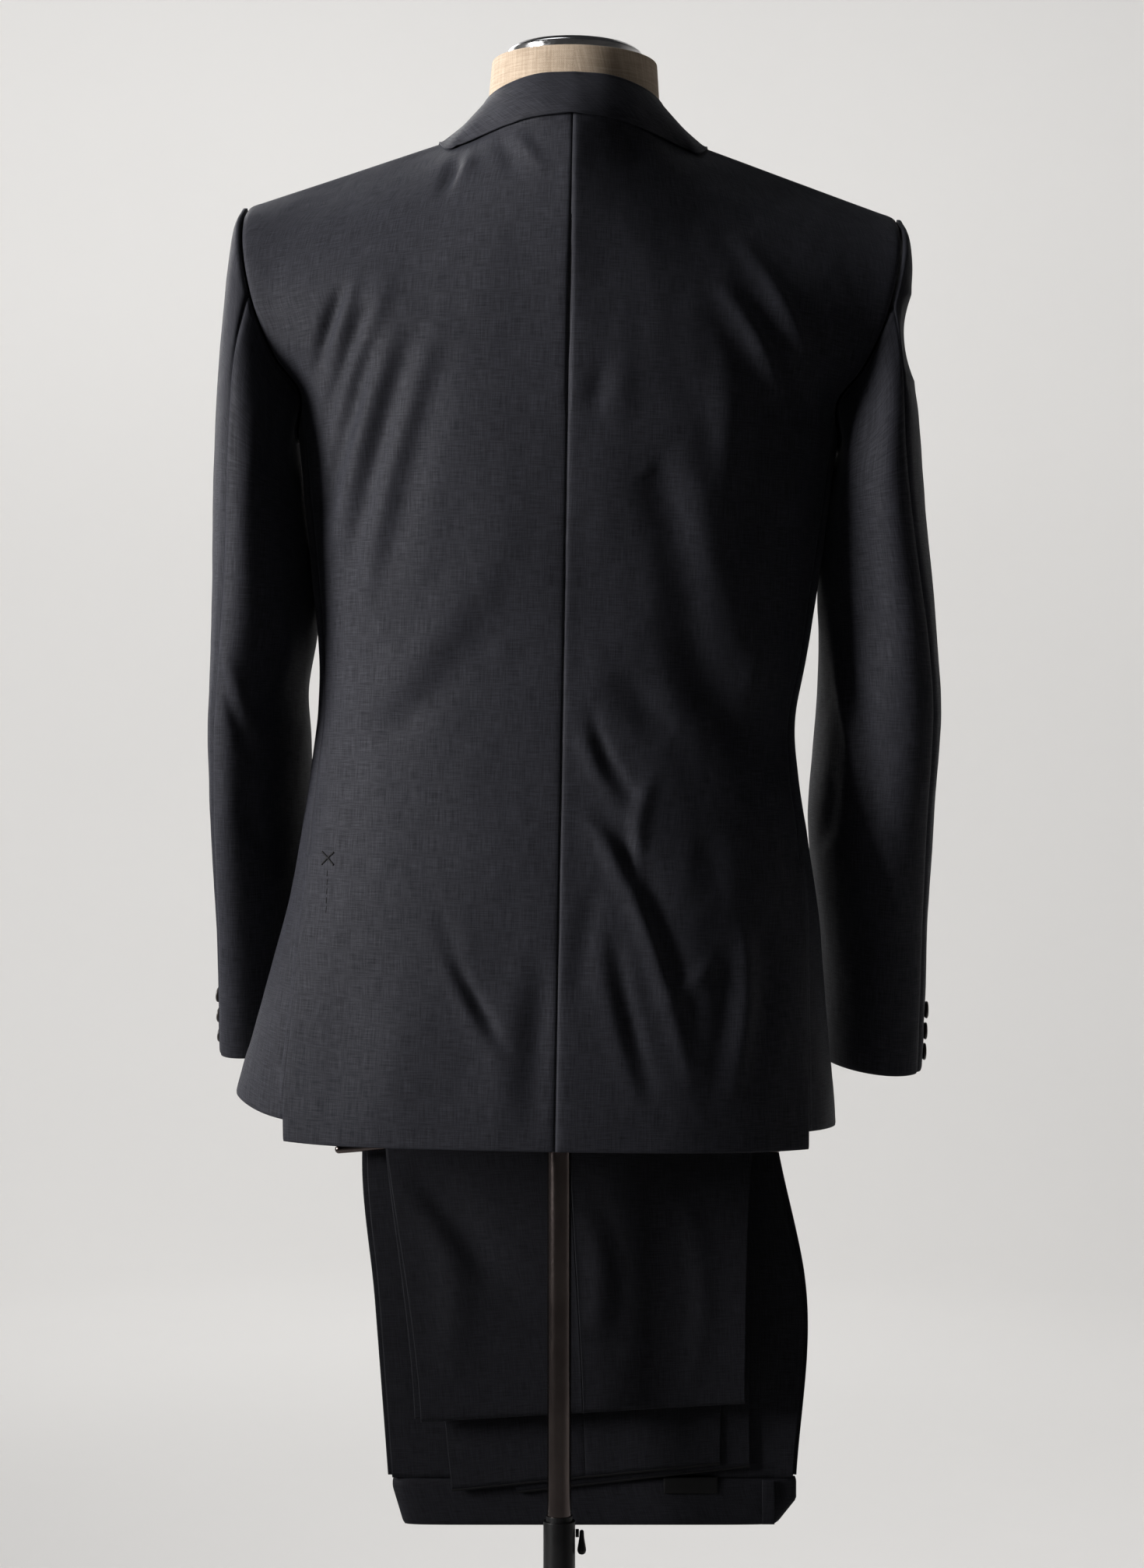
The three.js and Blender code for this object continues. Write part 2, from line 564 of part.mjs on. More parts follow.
function collarLine(points, t) {
  const u = Math.abs(t) * (points.length - 1)
  const p = along(points, u)
  p.x *= t < 0 ? -1 : 1
  return p
}
function collarLeaf() {
  const cols = 24
  const grid = range(5).map((j) => range(cols + 1).map((i) => {
    const t = 2 * i / cols - 1
    const edge = collarLine(collarEdge, t)
    const fold = collarLine(collarFold, t)
    const v = j / 4
    const swell = 2.4 * Math.sin(Math.PI * v) * Math.cos(1.75 * Math.PI * Math.abs(t))
    const away = new THREE.Vector3(fold.x, fold.y, 0).normalize()
    return edge.lerp(fold, v).addScaledVector(away, swell)
  }))
  return clothWall(grid, (p) => new THREE.Vector3(p.x, p.y, 60))
}
function collarStand() {
  const cols = 20
  const seam = [...neckSeam, ...rollLine.slice(3, 5).reverse()]
  const grid = range(3).map((j) => range(cols + 1).map((i) => {
    const t = 2 * i / cols - 1
    const foot = collarLine(seam, t * 0.93)
    const fold = collarLine(collarFold, t * 0.82)
    foot.z += cloth.seamGap + 0.8
    fold.z -= 1.4 + cloth.wall
    const inward = new THREE.Vector3(-fold.x, -fold.y, 0).normalize()
    return foot.lerp(fold, j / 2).addScaledVector(inward, 1.6 * (j / 2))
  }))
  return clothWall(grid, (p) => new THREE.Vector3(p.x, p.y, 0), 1.4)
}

// Point of a sleeve: share runs round from the outside over the back, the inside and the front;
// row 0 is the armhole, the cap ends at the top section and the cuff is the last section.
function sleevePoint(side, share, row) {
  const sections = sleeveSections[side.name]
  const ring = (z) => {
    const turn = THREE.MathUtils.degToRad(read(sections, z, 'turn'))
    const angle = share * 2 * Math.PI
    const thin = read(sections, z, 'thin') * Math.cos(angle)
    const long = read(sections, z, 'long') * Math.sin(angle)
    const x = read(sections, z, 'x') + thin * Math.cos(turn) + long * Math.sin(turn)
    const dy = long * Math.cos(turn) - thin * Math.sin(turn)
    const lift = -read(sections, z, 'lift') * dy / read(sections, z, 'long')
    return new THREE.Vector3(side.sign * x, read(sections, z, 'y') + dy, z + lift)
  }
  const below = Math.min(row - sleeve.capRows, sections.length - 1)
  if (below >= 0) return ring(through(sections, below, 'z'))
  const v = row / sleeve.capRows
  const start = armholePoint(side, share * armhole.length)
  const facing = Math.max(0, Math.cos(share * 2 * Math.PI))
  start.x += side.sign * (1.1 + (cloth.wall - 0.4) * facing)
  const bulge = sleeve.capBulge * Math.sin(Math.PI * v ** 0.42) * (0.25 + 0.75 * facing)
  const point = start.lerp(ring(sections[0].z), v)
  point.x += side.sign * bulge * (v > 0 ? 1 : 0)
  point.y += 5 * Math.sin(share * 2 * Math.PI) * Math.sin(Math.PI * v)
  return point
}

function sleevePanel(side, from, to, cols) {
  const rows = sleeve.capRows + sleeveSections[side.name].length - 1
  const grid = range(rows + 1).map((j) => range(cols + 1).map((i) => {
    const down = clamp01(j / rows)
    return sleevePoint(side, mix(from(down), to(down), i / cols), j)
  }))
  return clothWall(trimmed(grid, 0.24), fromAxis, cloth.wall, (j, i) => {
    const down = clamp01(j / rows)
    return sleeveNormal(side, mix(from(down), to(down), i / cols), j)
  })
}
function sleeveNormal(side, share, row) {
  const across = sleevePoint(side, share + 0.03, row).sub(sleevePoint(side, share - 0.03, row))
  const down = sleevePoint(side, share, row + 0.5).sub(sleevePoint(side, share, Math.max(0, row - 0.5)))
  return down.cross(across).multiplyScalar(side.sign).normalize()
}
const hindSeam = (down) => mix(sleeve.hindSeamTop, sleeve.hindSeamCuff, down)
const topSleeve = (side) => sleevePanel(side, () => sleeve.foreSeam - 1, hindSeam, 8)
const underSleeve = (side) => sleevePanel(side, hindSeam, () => sleeve.foreSeam, 8)

const jacketGroup = new THREE.Group()
jacketGroup.rotation.y = -THREE.MathUtils.degToRad(jacket.lean)
jacketGroup.position.set(
  jacket.leanFrom * Math.sin(THREE.MathUtils.degToRad(jacket.lean)), 0,
  jacket.leanFrom * (1 - Math.cos(THREE.MathUtils.degToRad(jacket.lean))),
)
for (const side of sides) {
  add(jacketGroup, `jacket.back_${side.name}`, backPanel(side), 'wool')
  add(jacketGroup, `jacket.side_${side.name}`, sidePanel(side), 'wool')
  add(jacketGroup, `jacket.front_${side.name}`, frontPanel(side), 'wool')
  add(jacketGroup, `jacket.lapel_${side.name}`, lapel(side), 'wool')
  add(jacketGroup, `jacket.top_sleeve_${side.name}`, topSleeve(side), 'wool')
  add(jacketGroup, `jacket.under_sleeve_${side.name}`, underSleeve(side), 'wool')
}
add(jacketGroup, 'jacket.collar', collarLeaf(), 'wool')
add(jacketGroup, 'jacket.collar_stand', collarStand(), 'wool')

// ---- dress form ----
function formTorso() {
  const count = 28
  return loft(formSections.map((row) => range(count).map((i) => {
    const turn = i / count * 2 * Math.PI
    const flat = row.z > 1500 ? 2 : mix(2.3, 2, clamp01((row.z - 1440) / 60))
    const depth = Math.cos(turn) > 0 ? row.back : row.front
    const bend = 2 / flat
    const x = row.half * Math.sign(Math.sin(turn)) * Math.abs(Math.sin(turn)) ** bend
    const y = depth * Math.sign(Math.cos(turn)) * Math.abs(Math.cos(turn)) ** bend
    return new THREE.Vector3(x, y, row.z)
  })))
}
add(jacketGroup, 'form.torso', formTorso(), 'linen')

add(jacketGroup, 'form.neck_cap', new THREE.LatheGeometry([
  [0, neckCap.rim], [neckCap.radius, neckCap.rim], [neckCap.radius, neckCap.top - 3],
  [neckCap.radius - 3, neckCap.top - 0.4], [neckCap.radius - 14, neckCap.top], [0, neckCap.top + 0.4],
].map(([r, z]) => new THREE.Vector2(r, z)), 36).rotateX(Math.PI / 2), 'chrome')
add(jacketGroup, 'form.flange', new THREE.CylinderGeometry(flange.radius, flange.radius, flange.thick, 36)
  .rotateX(Math.PI / 2).translate(0, 0, flange.top - flange.thick / 2), 'black')

// ---- jacket trim ----
// A button lies on the cloth with its axis along the outward direction.
function buttonAt(place, outward, radius, thick, lift) {
  const disc = new THREE.CylinderGeometry(radius * 0.9, radius, thick, 20)
  disc.applyQuaternion(new THREE.Quaternion().setFromUnitVectors(new THREE.Vector3(0, 1, 0), outward))
  const centre = place.clone().addScaledVector(outward, lift + thick / 2)
  return disc.translate(centre.x, centre.y, centre.z)
}
front.buttons.forEach((z, k) => {
  const place = new THREE.Vector3(0, frontDepth(sides[0], 0, z), z)
  const shape = buttonAt(place, new THREE.Vector3(0, -1, 0), button.frontRadius, button.frontThick, 1.1)
  add(jacketGroup, `jacket.front_button_${k + 1}`, shape, 'horn')
})
for (const side of sides) {
  for (const k of range(3)) {
    const row = sleeve.capRows + 8.75 - k * button.cuffPitch / 48
    const share = hindSeam(1) - 0.075
    const shape = buttonAt(sleevePoint(side, share, row), sleeveNormal(side, share, row),
      button.cuffRadius, button.cuffThick, 0.45)
    add(jacketGroup, `jacket.cuff_button_${side.name}_${k + 1}`, shape, 'horn')
  }
  const flap = range(4).map((j) => range(7).map((i) => {
    const corner = j === 3 && (i === 0 || i === 6) ? 6 : 0
    const z = 1004 - 17 * j - 9 * (1 - i / 6) + corner
    return bodyPoint(side, mix(118, 162, i / 6), z, -(cloth.wall + 0.75))
  }))
  add(jacketGroup, `jacket.flap_${side.name}`, clothWall(flap, fromAxis), 'wool')
}
const welt = range(3).map((j) => range(5).map((i) => {
  const x = mix(118, 178, i / 4)
  const z = 1272 + 11 * j + 7 * (i / 4)
  return new THREE.Vector3(x + 1, frontDepth(sides[0], x, z) - cloth.wall - 1.9, z)
}))
add(jacketGroup, 'jacket.breast_welt', clothWall(welt, () => new THREE.Vector3(0.5, -1, 0)), 'wool')

// ---- trousers over the bar ----
// Height of the bar's axis: it falls gently from the middle to both ends.
const barHeight = (x) => bar.endHeight + bar.rise * (1 - Math.hypot(x, bar.bend) / bar.reach)

// Rows of one folded leg, from its hem up the far side, over the bar, down to the knee fold, up again,
// over the bar and down to the waistband. `at` finds the row in the table of edges.
function legRows(innerRadius, outerRadius, far) {
  const top = barHeight(0)
  const rows = []
  const put = (y, z, at) => rows.push({ y, z, at })
  for (const k of range(4)) put(bar.y - innerRadius, mix(0, top, k / 4), k / 4)
  for (const k of range(5)) {
    const turn = Math.PI * (1 - k / 4)
    put(bar.y + innerRadius * Math.cos(turn), top + innerRadius * Math.sin(turn), 1 + k / 4)
  }
  for (const k of range(3)) {
    put(bar.y + innerRadius, mix(top, leg.kneeFold + 7, (k + 1) / 4), 2 + (k + 1) / 4)
  }
  const bend = (outerRadius - innerRadius) / 2
  const foldCentre = leg.kneeFold + leg.thick / 2 + 1.5 * leg.pitch
  for (const k of range(5)) {
    const turn = Math.PI * (1 + k / 4)
    put(bar.y + innerRadius + bend * (1 + Math.cos(turn)), foldCentre + bend * Math.sin(turn), 3)
  }
  for (const k of range(3)) {
    put(bar.y + outerRadius, mix(leg.kneeFold + 7, top, (k + 1) / 4), 3 + (k + 1) / 4)
  }
  for (const k of range(5)) {
    const turn = Math.PI * k / 4
    put(bar.y + outerRadius * Math.cos(turn), top + outerRadius * Math.sin(turn), 4 + k / 4)
  }
  for (const k of range(6)) {
    const t = (k + 1) / 6
    put(mix(bar.y - outerRadius, far, smooth(t)), mix(top, waistband.top + leg.layerGap, t), 5 + 2 * t)
  }
  return rows
}
const legHems = {
  outer: { left: 466, right: 476 },
  inner: { left: 458, right: 485 },
}
function legPanel(name, from, to) {
  const edges = legEdges[name]
  const step = bar.radius + leg.layerGap + leg.thick / 2
  const innerRadius = name === 'outer' ? step : step + leg.pitch
  const outerRadius = name === 'outer' ? step + 3 * leg.pitch : step + 2 * leg.pitch
  const far = name === 'outer' ? waistband.far + waistband.wall : waistband.near - waistband.wall
  const cols = 3
  const rows = legRows(innerRadius, outerRadius, far)
  const top = barHeight(0)
  const centre = rows.map((row) => range(cols + 1).map((i) => {
    const [leftEdge, rightEdge] = ['left', 'right'].map((key) => read(edges, row.at, key, 'at'))
    const x = mix(leftEdge, rightEdge, mix(from, to, i / cols))
    const hem = mix(legHems[name].right, legHems[name].left, (x + 150) / 240)
    const z = row.at < 1 ? mix(hem, top, row.at) : row.z
    const atBar = clamp01(1 - (top - z) / 110)
    const atKnee = row.at >= 2 && row.at <= 4 ? clamp01((top - z) / (top - leg.kneeFold)) : 0
    const sag = (barHeight(x) - top) * atBar - (x + 20) * leg.kneeSlope * atKnee
    return new THREE.Vector3(x, row.y, z + sag)
  }))
  const face = centre.map((row, j) => {
    const next = rows[Math.min(rows.length - 1, j + 1)]
    const last = rows[Math.max(0, j - 1)]
    const [nextZ, lastZ] = [next, last].map((row) => (row.at < 1 ? mix(470, top, row.at) : row.z))
    const dz = nextZ - lastZ
    const normal = new THREE.Vector3(0, -dz, next.y - last.y).normalize()
    return { row, normal }
  })
  const grid = face.map(({ row, normal }) => (
    row.map((p) => p.clone().addScaledVector(normal, leg.thick / 2))))
  return clothWall(trimmed(grid, 0.24), null, leg.thick, (j) => face[j].normal)
}

const part = new THREE.Group()
part.add(jacketGroup)
for (const name of ['outer', 'inner']) {
  add(part, `trousers.${name}_leg_front`, legPanel(name, 0, 0.5), 'wool')
  add(part, `trousers.${name}_leg_back`, legPanel(name, 0.5, 1), 'wool')
}

// Half of the waistband's flattened ring: the near half faces the pole.
function waistbandHalf(sign) {
  const middle = (waistband.near + waistband.far) / 2
  const deep = (waistband.near - waistband.far) / 2
  const cols = 12
  const grid = range(4).map((j) => range(cols + 1).map((i) => {
    const z = mix(waistband.bottom, waistband.top, j / 3)
    const left = mix(125, 134, clamp01(j / 2.4))
    const right = mix(-174, -190, clamp01(j / 1.6))
    const turn = Math.PI * i / cols
    const across = Math.sign(Math.cos(turn)) * Math.abs(Math.cos(turn)) ** 0.22
    const x = mix(left, right, 0.5) + (left - right) / 2 * across
    return new THREE.Vector3(x, middle + sign * deep * Math.sin(turn) ** 0.6, z)
  }))
  return clothWall(trimmed(grid), null, waistband.wall, (j, i) => {
    const p = grid[j][i]
    const end = clamp01((Math.abs(p.x + 28) - 140) / 20)
    const deep = sign * (1 - end * 0.6) * Math.sin(Math.PI * i / cols) ** 0.3
    return new THREE.Vector3(Math.sign(p.x + 28) * end, deep, 0).normalize()
  })
}
add(part, 'trousers.waistband_near', waistbandHalf(1), 'wool')
add(part, 'trousers.waistband_far', waistbandHalf(-1), 'wool')

function strip(x, y, width, low, high, thick) {
  return new THREE.BoxGeometry(width, thick, high - low).translate(x, y, (low + high) / 2)
}
const loopHeights = [waistband.bottom + 1, waistband.top - 0.5]
const nearFace = waistband.near + leg.layerGap
const farFace = waistband.far - leg.layerGap
add(part, 'trousers.belt_loop_near', strip(-167, nearFace + 0.6, 10, ...loopHeights, 1.6), 'wool')
for (const [k, x] of [-150, -28, 96].entries()) {
  add(part, `trousers.belt_loop_far_${k + 1}`, strip(x, farFace - 0.8, 10, ...loopHeights, 1.6), 'wool')
}
add(part, 'trousers.label', strip(-104, nearFace + 0.4, 43, 460, 473, 0.8), 'label')

// ---- trouser bar, pole and stand ----
function rod(points, radius) {
  const section = new THREE.Shape().absarc(0, 0, radius, 0, 2 * Math.PI)
  const stations = points.map(([x, y, z]) => new THREE.Vector3(x, y, z))
  const extrudePath = new THREE.CatmullRomCurve3(stations, false, 'centripetal')
  return new THREE.ExtrudeGeometry(section, {
    steps: 38, curveSegments: 5, bevelEnabled: false, extrudePath,
  })
}
const barPath = [
  [-6, -clamp.outer - 4.6, bar.returnHeight], [-7, bar.y + 12, bar.returnHeight],
  [-15, bar.y + 3, bar.returnHeight],
  [-34, bar.y, bar.returnHeight - 0.5],
  [-100, bar.y, bar.returnHeight - 2], [-bar.back + 12, bar.y, bar.returnHeight - 6],
  [-bar.back, bar.y, 759], [-bar.back + 10, bar.y, barHeight(174) + 1],
  ...[-150, -100, -50, 0, 50, 100, 150, 175.5].map((x) => [x, bar.y, barHeight(x)]),
]
const barEnd = new THREE.SphereGeometry(bar.radius, 12, 8).translate(175.5, bar.y, barHeight(175.5))
add(part, 'form.trouser_bar', joined(rod(barPath, bar.radius), barEnd), 'bronze')

function ringTube(outer, inner, low, high, segments = 36) {
  const profile = [[inner, low], [outer, low], [outer, high], [inner, high], [inner, low]]
  const outline = profile.map(([r, z]) => new THREE.Vector2(r, z))
  return new THREE.LatheGeometry(outline, segments).rotateX(Math.PI / 2)
}
const clampArm = new THREE.BoxGeometry(9, 10, 9).translate(-6, -clamp.outer + 1, bar.returnHeight)
const clampBody = ringTube(clamp.outer, clamp.inner, clamp.bottom, clamp.top)
const poleHole = new THREE.CylinderGeometry(clamp.inner, clamp.inner, 40, 36)
poleHole.rotateX(Math.PI / 2).translate(0, 0, clamp.bottom)
add(part, 'form.bar_clamp', cut(joined(clampBody, clampArm), poleHole), 'black')
add(part, 'form.pole', ringTube(pole.radius, pole.radius - pole.wall, pole.bottom, pole.top), 'bronze')
add(part, 'stand.pipe', ringTube(pipe.radius, pipe.radius - pipe.wall, pipe.bottom, pipe.top), 'black')
const bushingEnds = [pipe.top - bushing.below, pipe.top + bushing.above]
add(part, 'stand.bushing', ringTube(bushing.outer, bushing.inner, ...bushingEnds), 'black')
const baseProfile = [
  [0, 0], [base.radius, 0], [base.radius, base.edge - 2], [base.radius - 2, base.edge],
  [base.hubRadius + 30, base.crown - 1], [base.hubRadius, base.crown + 4], [base.hubRadius - 4, base.hubTop],
  [pipe.radius + 0.3, base.hubTop], [pipe.radius + 0.3, pipe.bottom - 0.3], [0, pipe.bottom - 0.3],
]
const baseOutline = baseProfile.map(([r, z]) => new THREE.Vector2(r, z))
add(part, 'stand.base', new THREE.LatheGeometry(baseOutline, 48).rotateX(Math.PI / 2), 'black')
add(part, 'stand.lever_boss', new THREE.CylinderGeometry(3.2, 3.2, 2.7, 16).rotateZ(Math.PI / 2)
  .translate(-pipe.radius - 1.6, 0, lever.pivot), 'black')
const dropProfile = range(9).map((k) => {
  const t = k / 8
  const tip = Math.sqrt(clamp01(1 - Math.max(0, (t - 0.72) / 0.28) ** 2))
  const r = mix(lever.thin, lever.fat, smooth(t)) * tip
  return new THREE.Vector2(k === 8 ? 0 : r, -lever.length * t)
})
const dropOutline = [new THREE.Vector2(0, 2.6), new THREE.Vector2(1.6, 1.6), ...dropProfile]
const drop = new THREE.LatheGeometry(dropOutline.reverse(), 14)
add(part, 'stand.lever', drop.rotateX(Math.PI / 2).translate(lever.x, 0, lever.pivot), 'black')

export default part
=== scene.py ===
import math
import bmesh
import bpy
import numpy as np
from mathutils import Matrix, Vector, noise
from mathutils.bvhtree import BVHTree


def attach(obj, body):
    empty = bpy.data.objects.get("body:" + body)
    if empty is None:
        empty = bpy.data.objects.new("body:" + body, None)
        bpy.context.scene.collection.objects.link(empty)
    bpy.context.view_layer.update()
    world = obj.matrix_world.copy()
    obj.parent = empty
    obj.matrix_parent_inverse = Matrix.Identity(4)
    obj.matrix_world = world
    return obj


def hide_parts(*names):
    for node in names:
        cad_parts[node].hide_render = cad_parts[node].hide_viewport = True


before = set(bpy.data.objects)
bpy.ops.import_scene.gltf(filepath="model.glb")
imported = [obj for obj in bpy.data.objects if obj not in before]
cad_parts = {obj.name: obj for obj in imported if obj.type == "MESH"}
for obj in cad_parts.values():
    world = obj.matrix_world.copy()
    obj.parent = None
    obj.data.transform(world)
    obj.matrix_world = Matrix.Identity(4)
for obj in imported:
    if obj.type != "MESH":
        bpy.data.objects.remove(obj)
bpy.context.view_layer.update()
scene = bpy.context.scene

# Business suit on a limbless dress form. The suit faces -Y and the wearer's left is +X.
# Cloth tables are in millimetres, and everything becomes metres when a piece is made.
mm = 0.001
detail = dict(backStep=3.2, frontStep=3.9, sideStep=4.0, sleeveStep=3.4, legStep=4.2, smallStep=2.4)

# ---- camera ----
cameraPlace = dict(x=-0.010, y=2.300, z=1.030, lens=67.5)


def placeCamera():
    lensData = bpy.data.cameras.new("suitCamera")
    lensData.lens = cameraPlace["lens"]
    lensData.sensor_width = 36.0
    camera = bpy.data.objects.new("suitCamera", lensData)
    camera.location = (cameraPlace["x"], cameraPlace["y"], cameraPlace["z"])
    camera.rotation_euler = (math.radians(90), 0, math.radians(180))
    scene.collection.objects.link(camera)
    scene.camera = camera


placeCamera()
print("camera placed")


# ---- small sums ----
def mix(a, b, t):
    return a + (b - a) * t


def clamp01(t):
    return min(1.0, max(0.0, t))


def smooth(t):
    t = clamp01(t)
    return t * t * (3 - 2 * t)


def bend(a, slopeA, b, slopeB, t):
    # smooth curve from a to b that leaves and arrives at the given slopes
    return ((2 * t ** 3 - 3 * t ** 2 + 1) * a + (t ** 3 - 2 * t ** 2 + t) * slopeA
            + (-2 * t ** 3 + 3 * t ** 2) * b + (t ** 3 - t ** 2) * slopeB)


def through(rows, u, key):
    # smooth curve through evenly counted rows
    last = len(rows) - 1
    i = min(int(clamp01(u / last) * last), last - 1)
    t = u - i
    at = lambda k: rows[min(last, max(0, k))][key]
    slopeA = (at(i + 1) - at(i - 1)) / (1 if i == 0 else 2)
    slopeB = (at(i + 2) - at(i)) / (1 if i + 1 == last else 2)
    return bend(at(i), slopeA, at(i + 1), slopeB, t)


def read(table, value, key, by="z"):
    rising = table[0][by] < table[1][by]
    last = len(table) - 1
    i = last - 1
    for k in range(last):
        if (value < table[k + 1][by]) if rising else (value > table[k + 1][by]):
            i = k
            break
    t = clamp01((value - table[i][by]) / (table[i + 1][by] - table[i][by]))
    return through(table, i + t, key)


def along(rows, u):
    return np.array([through(rows, u, "x"), through(rows, u, "y"), through(rows, u, "z")])


def rowsOf(names, *values):
    return [dict(zip(names.split(), row)) for row in values]


def stops(length, step, near=(0.0, 0.9, 2.0, 3.6)):
    # places along an edge in shares of its length, closer together at both ends
    start = [d for d in near if d < length / 3]
    count = max(2, round((length - 2 * start[-1]) / step))
    middle = [mix(start[-1], length - start[-1], k / count) for k in range(1, count)]
    places = start + middle + [length - d for d in reversed(start)]
    return [p / length for p in places]


# ---- making a sheet ----
def gridOf(place, across, upward):
    return np.array([[place(u, v) for u in across] for v in upward])


def gridNormals(points):
    across = np.gradient(points, axis=1)
    up = np.gradient(points, axis=0)
    normals = np.cross(across, up)
    length = np.linalg.norm(normals, axis=2, keepdims=True)
    return normals / np.maximum(length, 1e-9)


def arcs(points):
    # length run along each row from its start, and along each column from its bottom
    zero = np.zeros(points.shape[:2])
    u, v = zero.copy(), zero.copy()
    u[:, 1:] = np.cumsum(np.linalg.norm(np.diff(points, axis=1), axis=2), axis=1)
    v[1:, :] = np.cumsum(np.linalg.norm(np.diff(points, axis=0), axis=2), axis=0)
    return u, v


def ease(points, first, last, passes, ramp=4.0, columnsOnly=False):
    # eases a band of rows with the sheet's own edges kept, or along its columns only, so that a tube
    # keeps its girth
    span = np.arange(points.shape[0])
    weight = np.clip(np.minimum(span - first, last - span) / ramp, 0, 1)[:, None, None]
    out = points.copy()
    for _ in range(passes):
        eased = out.copy()
        if columnsOnly:
            eased[1:-1] = (out[:-2] + out[2:]) / 2
        else:
            eased[1:-1, 1:-1] = (out[:-2, 1:-1] + out[2:, 1:-1] + out[1:-1, :-2] + out[1:-1, 2:]) / 4
        out = out + (eased - out) * weight
    return out


creaseLook = dict(ridge=1.25, trough=1.15, wide=0.85, spans=10)


def creaseHeight(a, b, crease):
    # height of one crease over a sheet whose points have the flat coordinates a and b
    p0, p1, p2 = [np.array(crease[k:k + 2], float) for k in (0, 2, 4)]
    rise, left, right = crease[6:9]
    control = 2 * p1 - (p0 + p2) / 2
    best, side, share = np.full(a.shape, 1e9), np.zeros(a.shape), np.zeros(a.shape)
    count = creaseLook["spans"]
    curve = [(1 - t) ** 2 * p0 + 2 * t * (1 - t) * control + t * t * p2
             for t in [k / count for k in range(count + 1)]]
    for k in range(count):
        start, step = curve[k], curve[k + 1] - curve[k]
        length2 = max(1e-9, float(step @ step))
        t = np.clip(((a - start[0]) * step[0] + (b - start[1]) * step[1]) / length2, 0, 1)
        da, db = a - start[0] - t * step[0], b - start[1] - t * step[1]
        gap = np.hypot(da, db)
        closer = gap < best
        best = np.where(closer, gap, best)
        side = np.where(closer, step[0] * db - step[1] * da, side)
        share = np.where(closer, (k + t) / count, share)
    width = np.where(side > 0, left, right)
    fade = np.sin(np.pi * np.clip(0.06 + 0.88 * share, 0, 1)) ** 0.8
    rise = rise * (creaseLook["ridge"] if rise > 0 else creaseLook["trough"])
    return rise * np.exp(-(best / (width * creaseLook["wide"])) ** 2) * fade


def unevenness(points, seed, broad, fine):
    heights = np.zeros(points.shape[:2])
    shift = Vector((seed * 3.7, seed * 1.3, seed * 2.1))
    for spot in np.ndindex(heights.shape):
        p = Vector(points[spot])
        wide = noise.noise(Vector((p.x / 46, p.y / 46, p.z / 80)) + shift)
        small = noise.noise(Vector((p.x / 13, p.y / 13, p.z / 21)) + shift)
        heights[spot] = broad * wide + fine * small
    return heights


# how an edge rises or sinks, and over how far: the two sides of a seam roll in to meet, and one edge
# goes over or under its neighbour
edgeShapes = dict(seam=(-0.85, 1.7), deepSeam=(-1.5, 2.4), over=(1.5, 12.0), under=(-1.5, 13.0))


def edgeProfile(style, gap):
    if style == "none":
        return np.zeros_like(gap)
    if style == "hem":  # the turned-up hem is a little fuller than the cloth above it
        return 0.35 / (1 + np.exp((gap - 34.0) / 1.6)) - 0.5 * np.exp(-(gap / 1.1) ** 2)
    height, reach = edgeShapes[style]
    return height * np.exp(-(gap / reach) ** 2)


def edgeHeights(points, styles):
    # styles are the sheet's start, end, bottom and top, each a name or a list with one name per row
    u, v = arcs(points)
    gaps = [u, u[:, -1:] - u, v, v[-1:, :] - v]
    total = np.zeros(points.shape[:2])
    for style, gap in zip(styles, gaps):
        if isinstance(style, str):
            total += edgeProfile(style, gap)
        else:
            for row, name in enumerate(style):
                total[row] += edgeProfile(name, gap[row])
    return total


def meshOf(name, bm):
    mesh = bpy.data.meshes.new(name)
    bm.to_mesh(mesh)
    bm.free()
    return mesh


def objectFrom(name, bm):
    piece = bpy.data.objects.new(name, meshOf(name, bm))
    scene.collection.objects.link(piece)
    return piece


def addInto(bm, other):
    mesh = meshOf("part", other)
    bm.from_mesh(mesh)
    bpy.data.meshes.remove(mesh)


def addWall(piece, wall, offset):
    shell = piece.modifiers.new("wall", "SOLIDIFY")
    shell.thickness = wall * mm
    shell.offset = offset


def meshFromGrid(name, points, outward, wall, place):
    rows, cols = points.shape[0] - 1, points.shape[1] - 1
    u, v = arcs(points)
    middle = v[:, cols // 2][:, None] + np.zeros_like(v)
    bm = bmesh.new()
    bmesh.ops.create_grid(bm, x_segments=cols, y_segments=rows, size=1.0)
    spots = {vert: (round((vert.co.y + 1) / 2 * rows), round((vert.co.x + 1) / 2 * cols))
             for vert in bm.verts}
    uvLayer = bm.loops.layers.uv.new("UVMap")
    for face in bm.faces:
        for loop in face.loops:
            j, i = spots[loop.vert]
            loop[uvLayer].uv = (u[j, i] * mm, middle[j, i] * mm)
    for vert, (j, i) in spots.items():
        vert.co = place @ (Vector(points[j, i]) * mm)
    bm.normal_update()
    facing = sum(f.normal.dot(place.to_3x3() @ outward(f.calc_center_median() / mm)) * f.calc_area()
                 for f in bm.faces)
    if facing < 0:
        bmesh.ops.reverse_faces(bm, faces=bm.faces[:])
    for face in bm.faces:
        face.smooth = True
    piece = objectFrom(name, bm)
    if wall:
        addWall(piece, wall, -1.0)
    return piece


def finishPiece(piece, material, nodes=(), body="mast"):
    piece.data.materials.clear()
    piece.data.materials.append(material)
    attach(piece, body)
    if nodes:
        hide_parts(*nodes)
    return piece


upright = Matrix.Identity(4)
jacketLean = dict(degrees=1.0, above=0.900)
lean = (Matrix.Translation((0, 0, jacketLean["above"]))
        @ Matrix.Rotation(-math.radians(jacketLean["degrees"]), 4, "Y")
        @ Matrix.Translation((0, 0, -jacketLean["above"])))

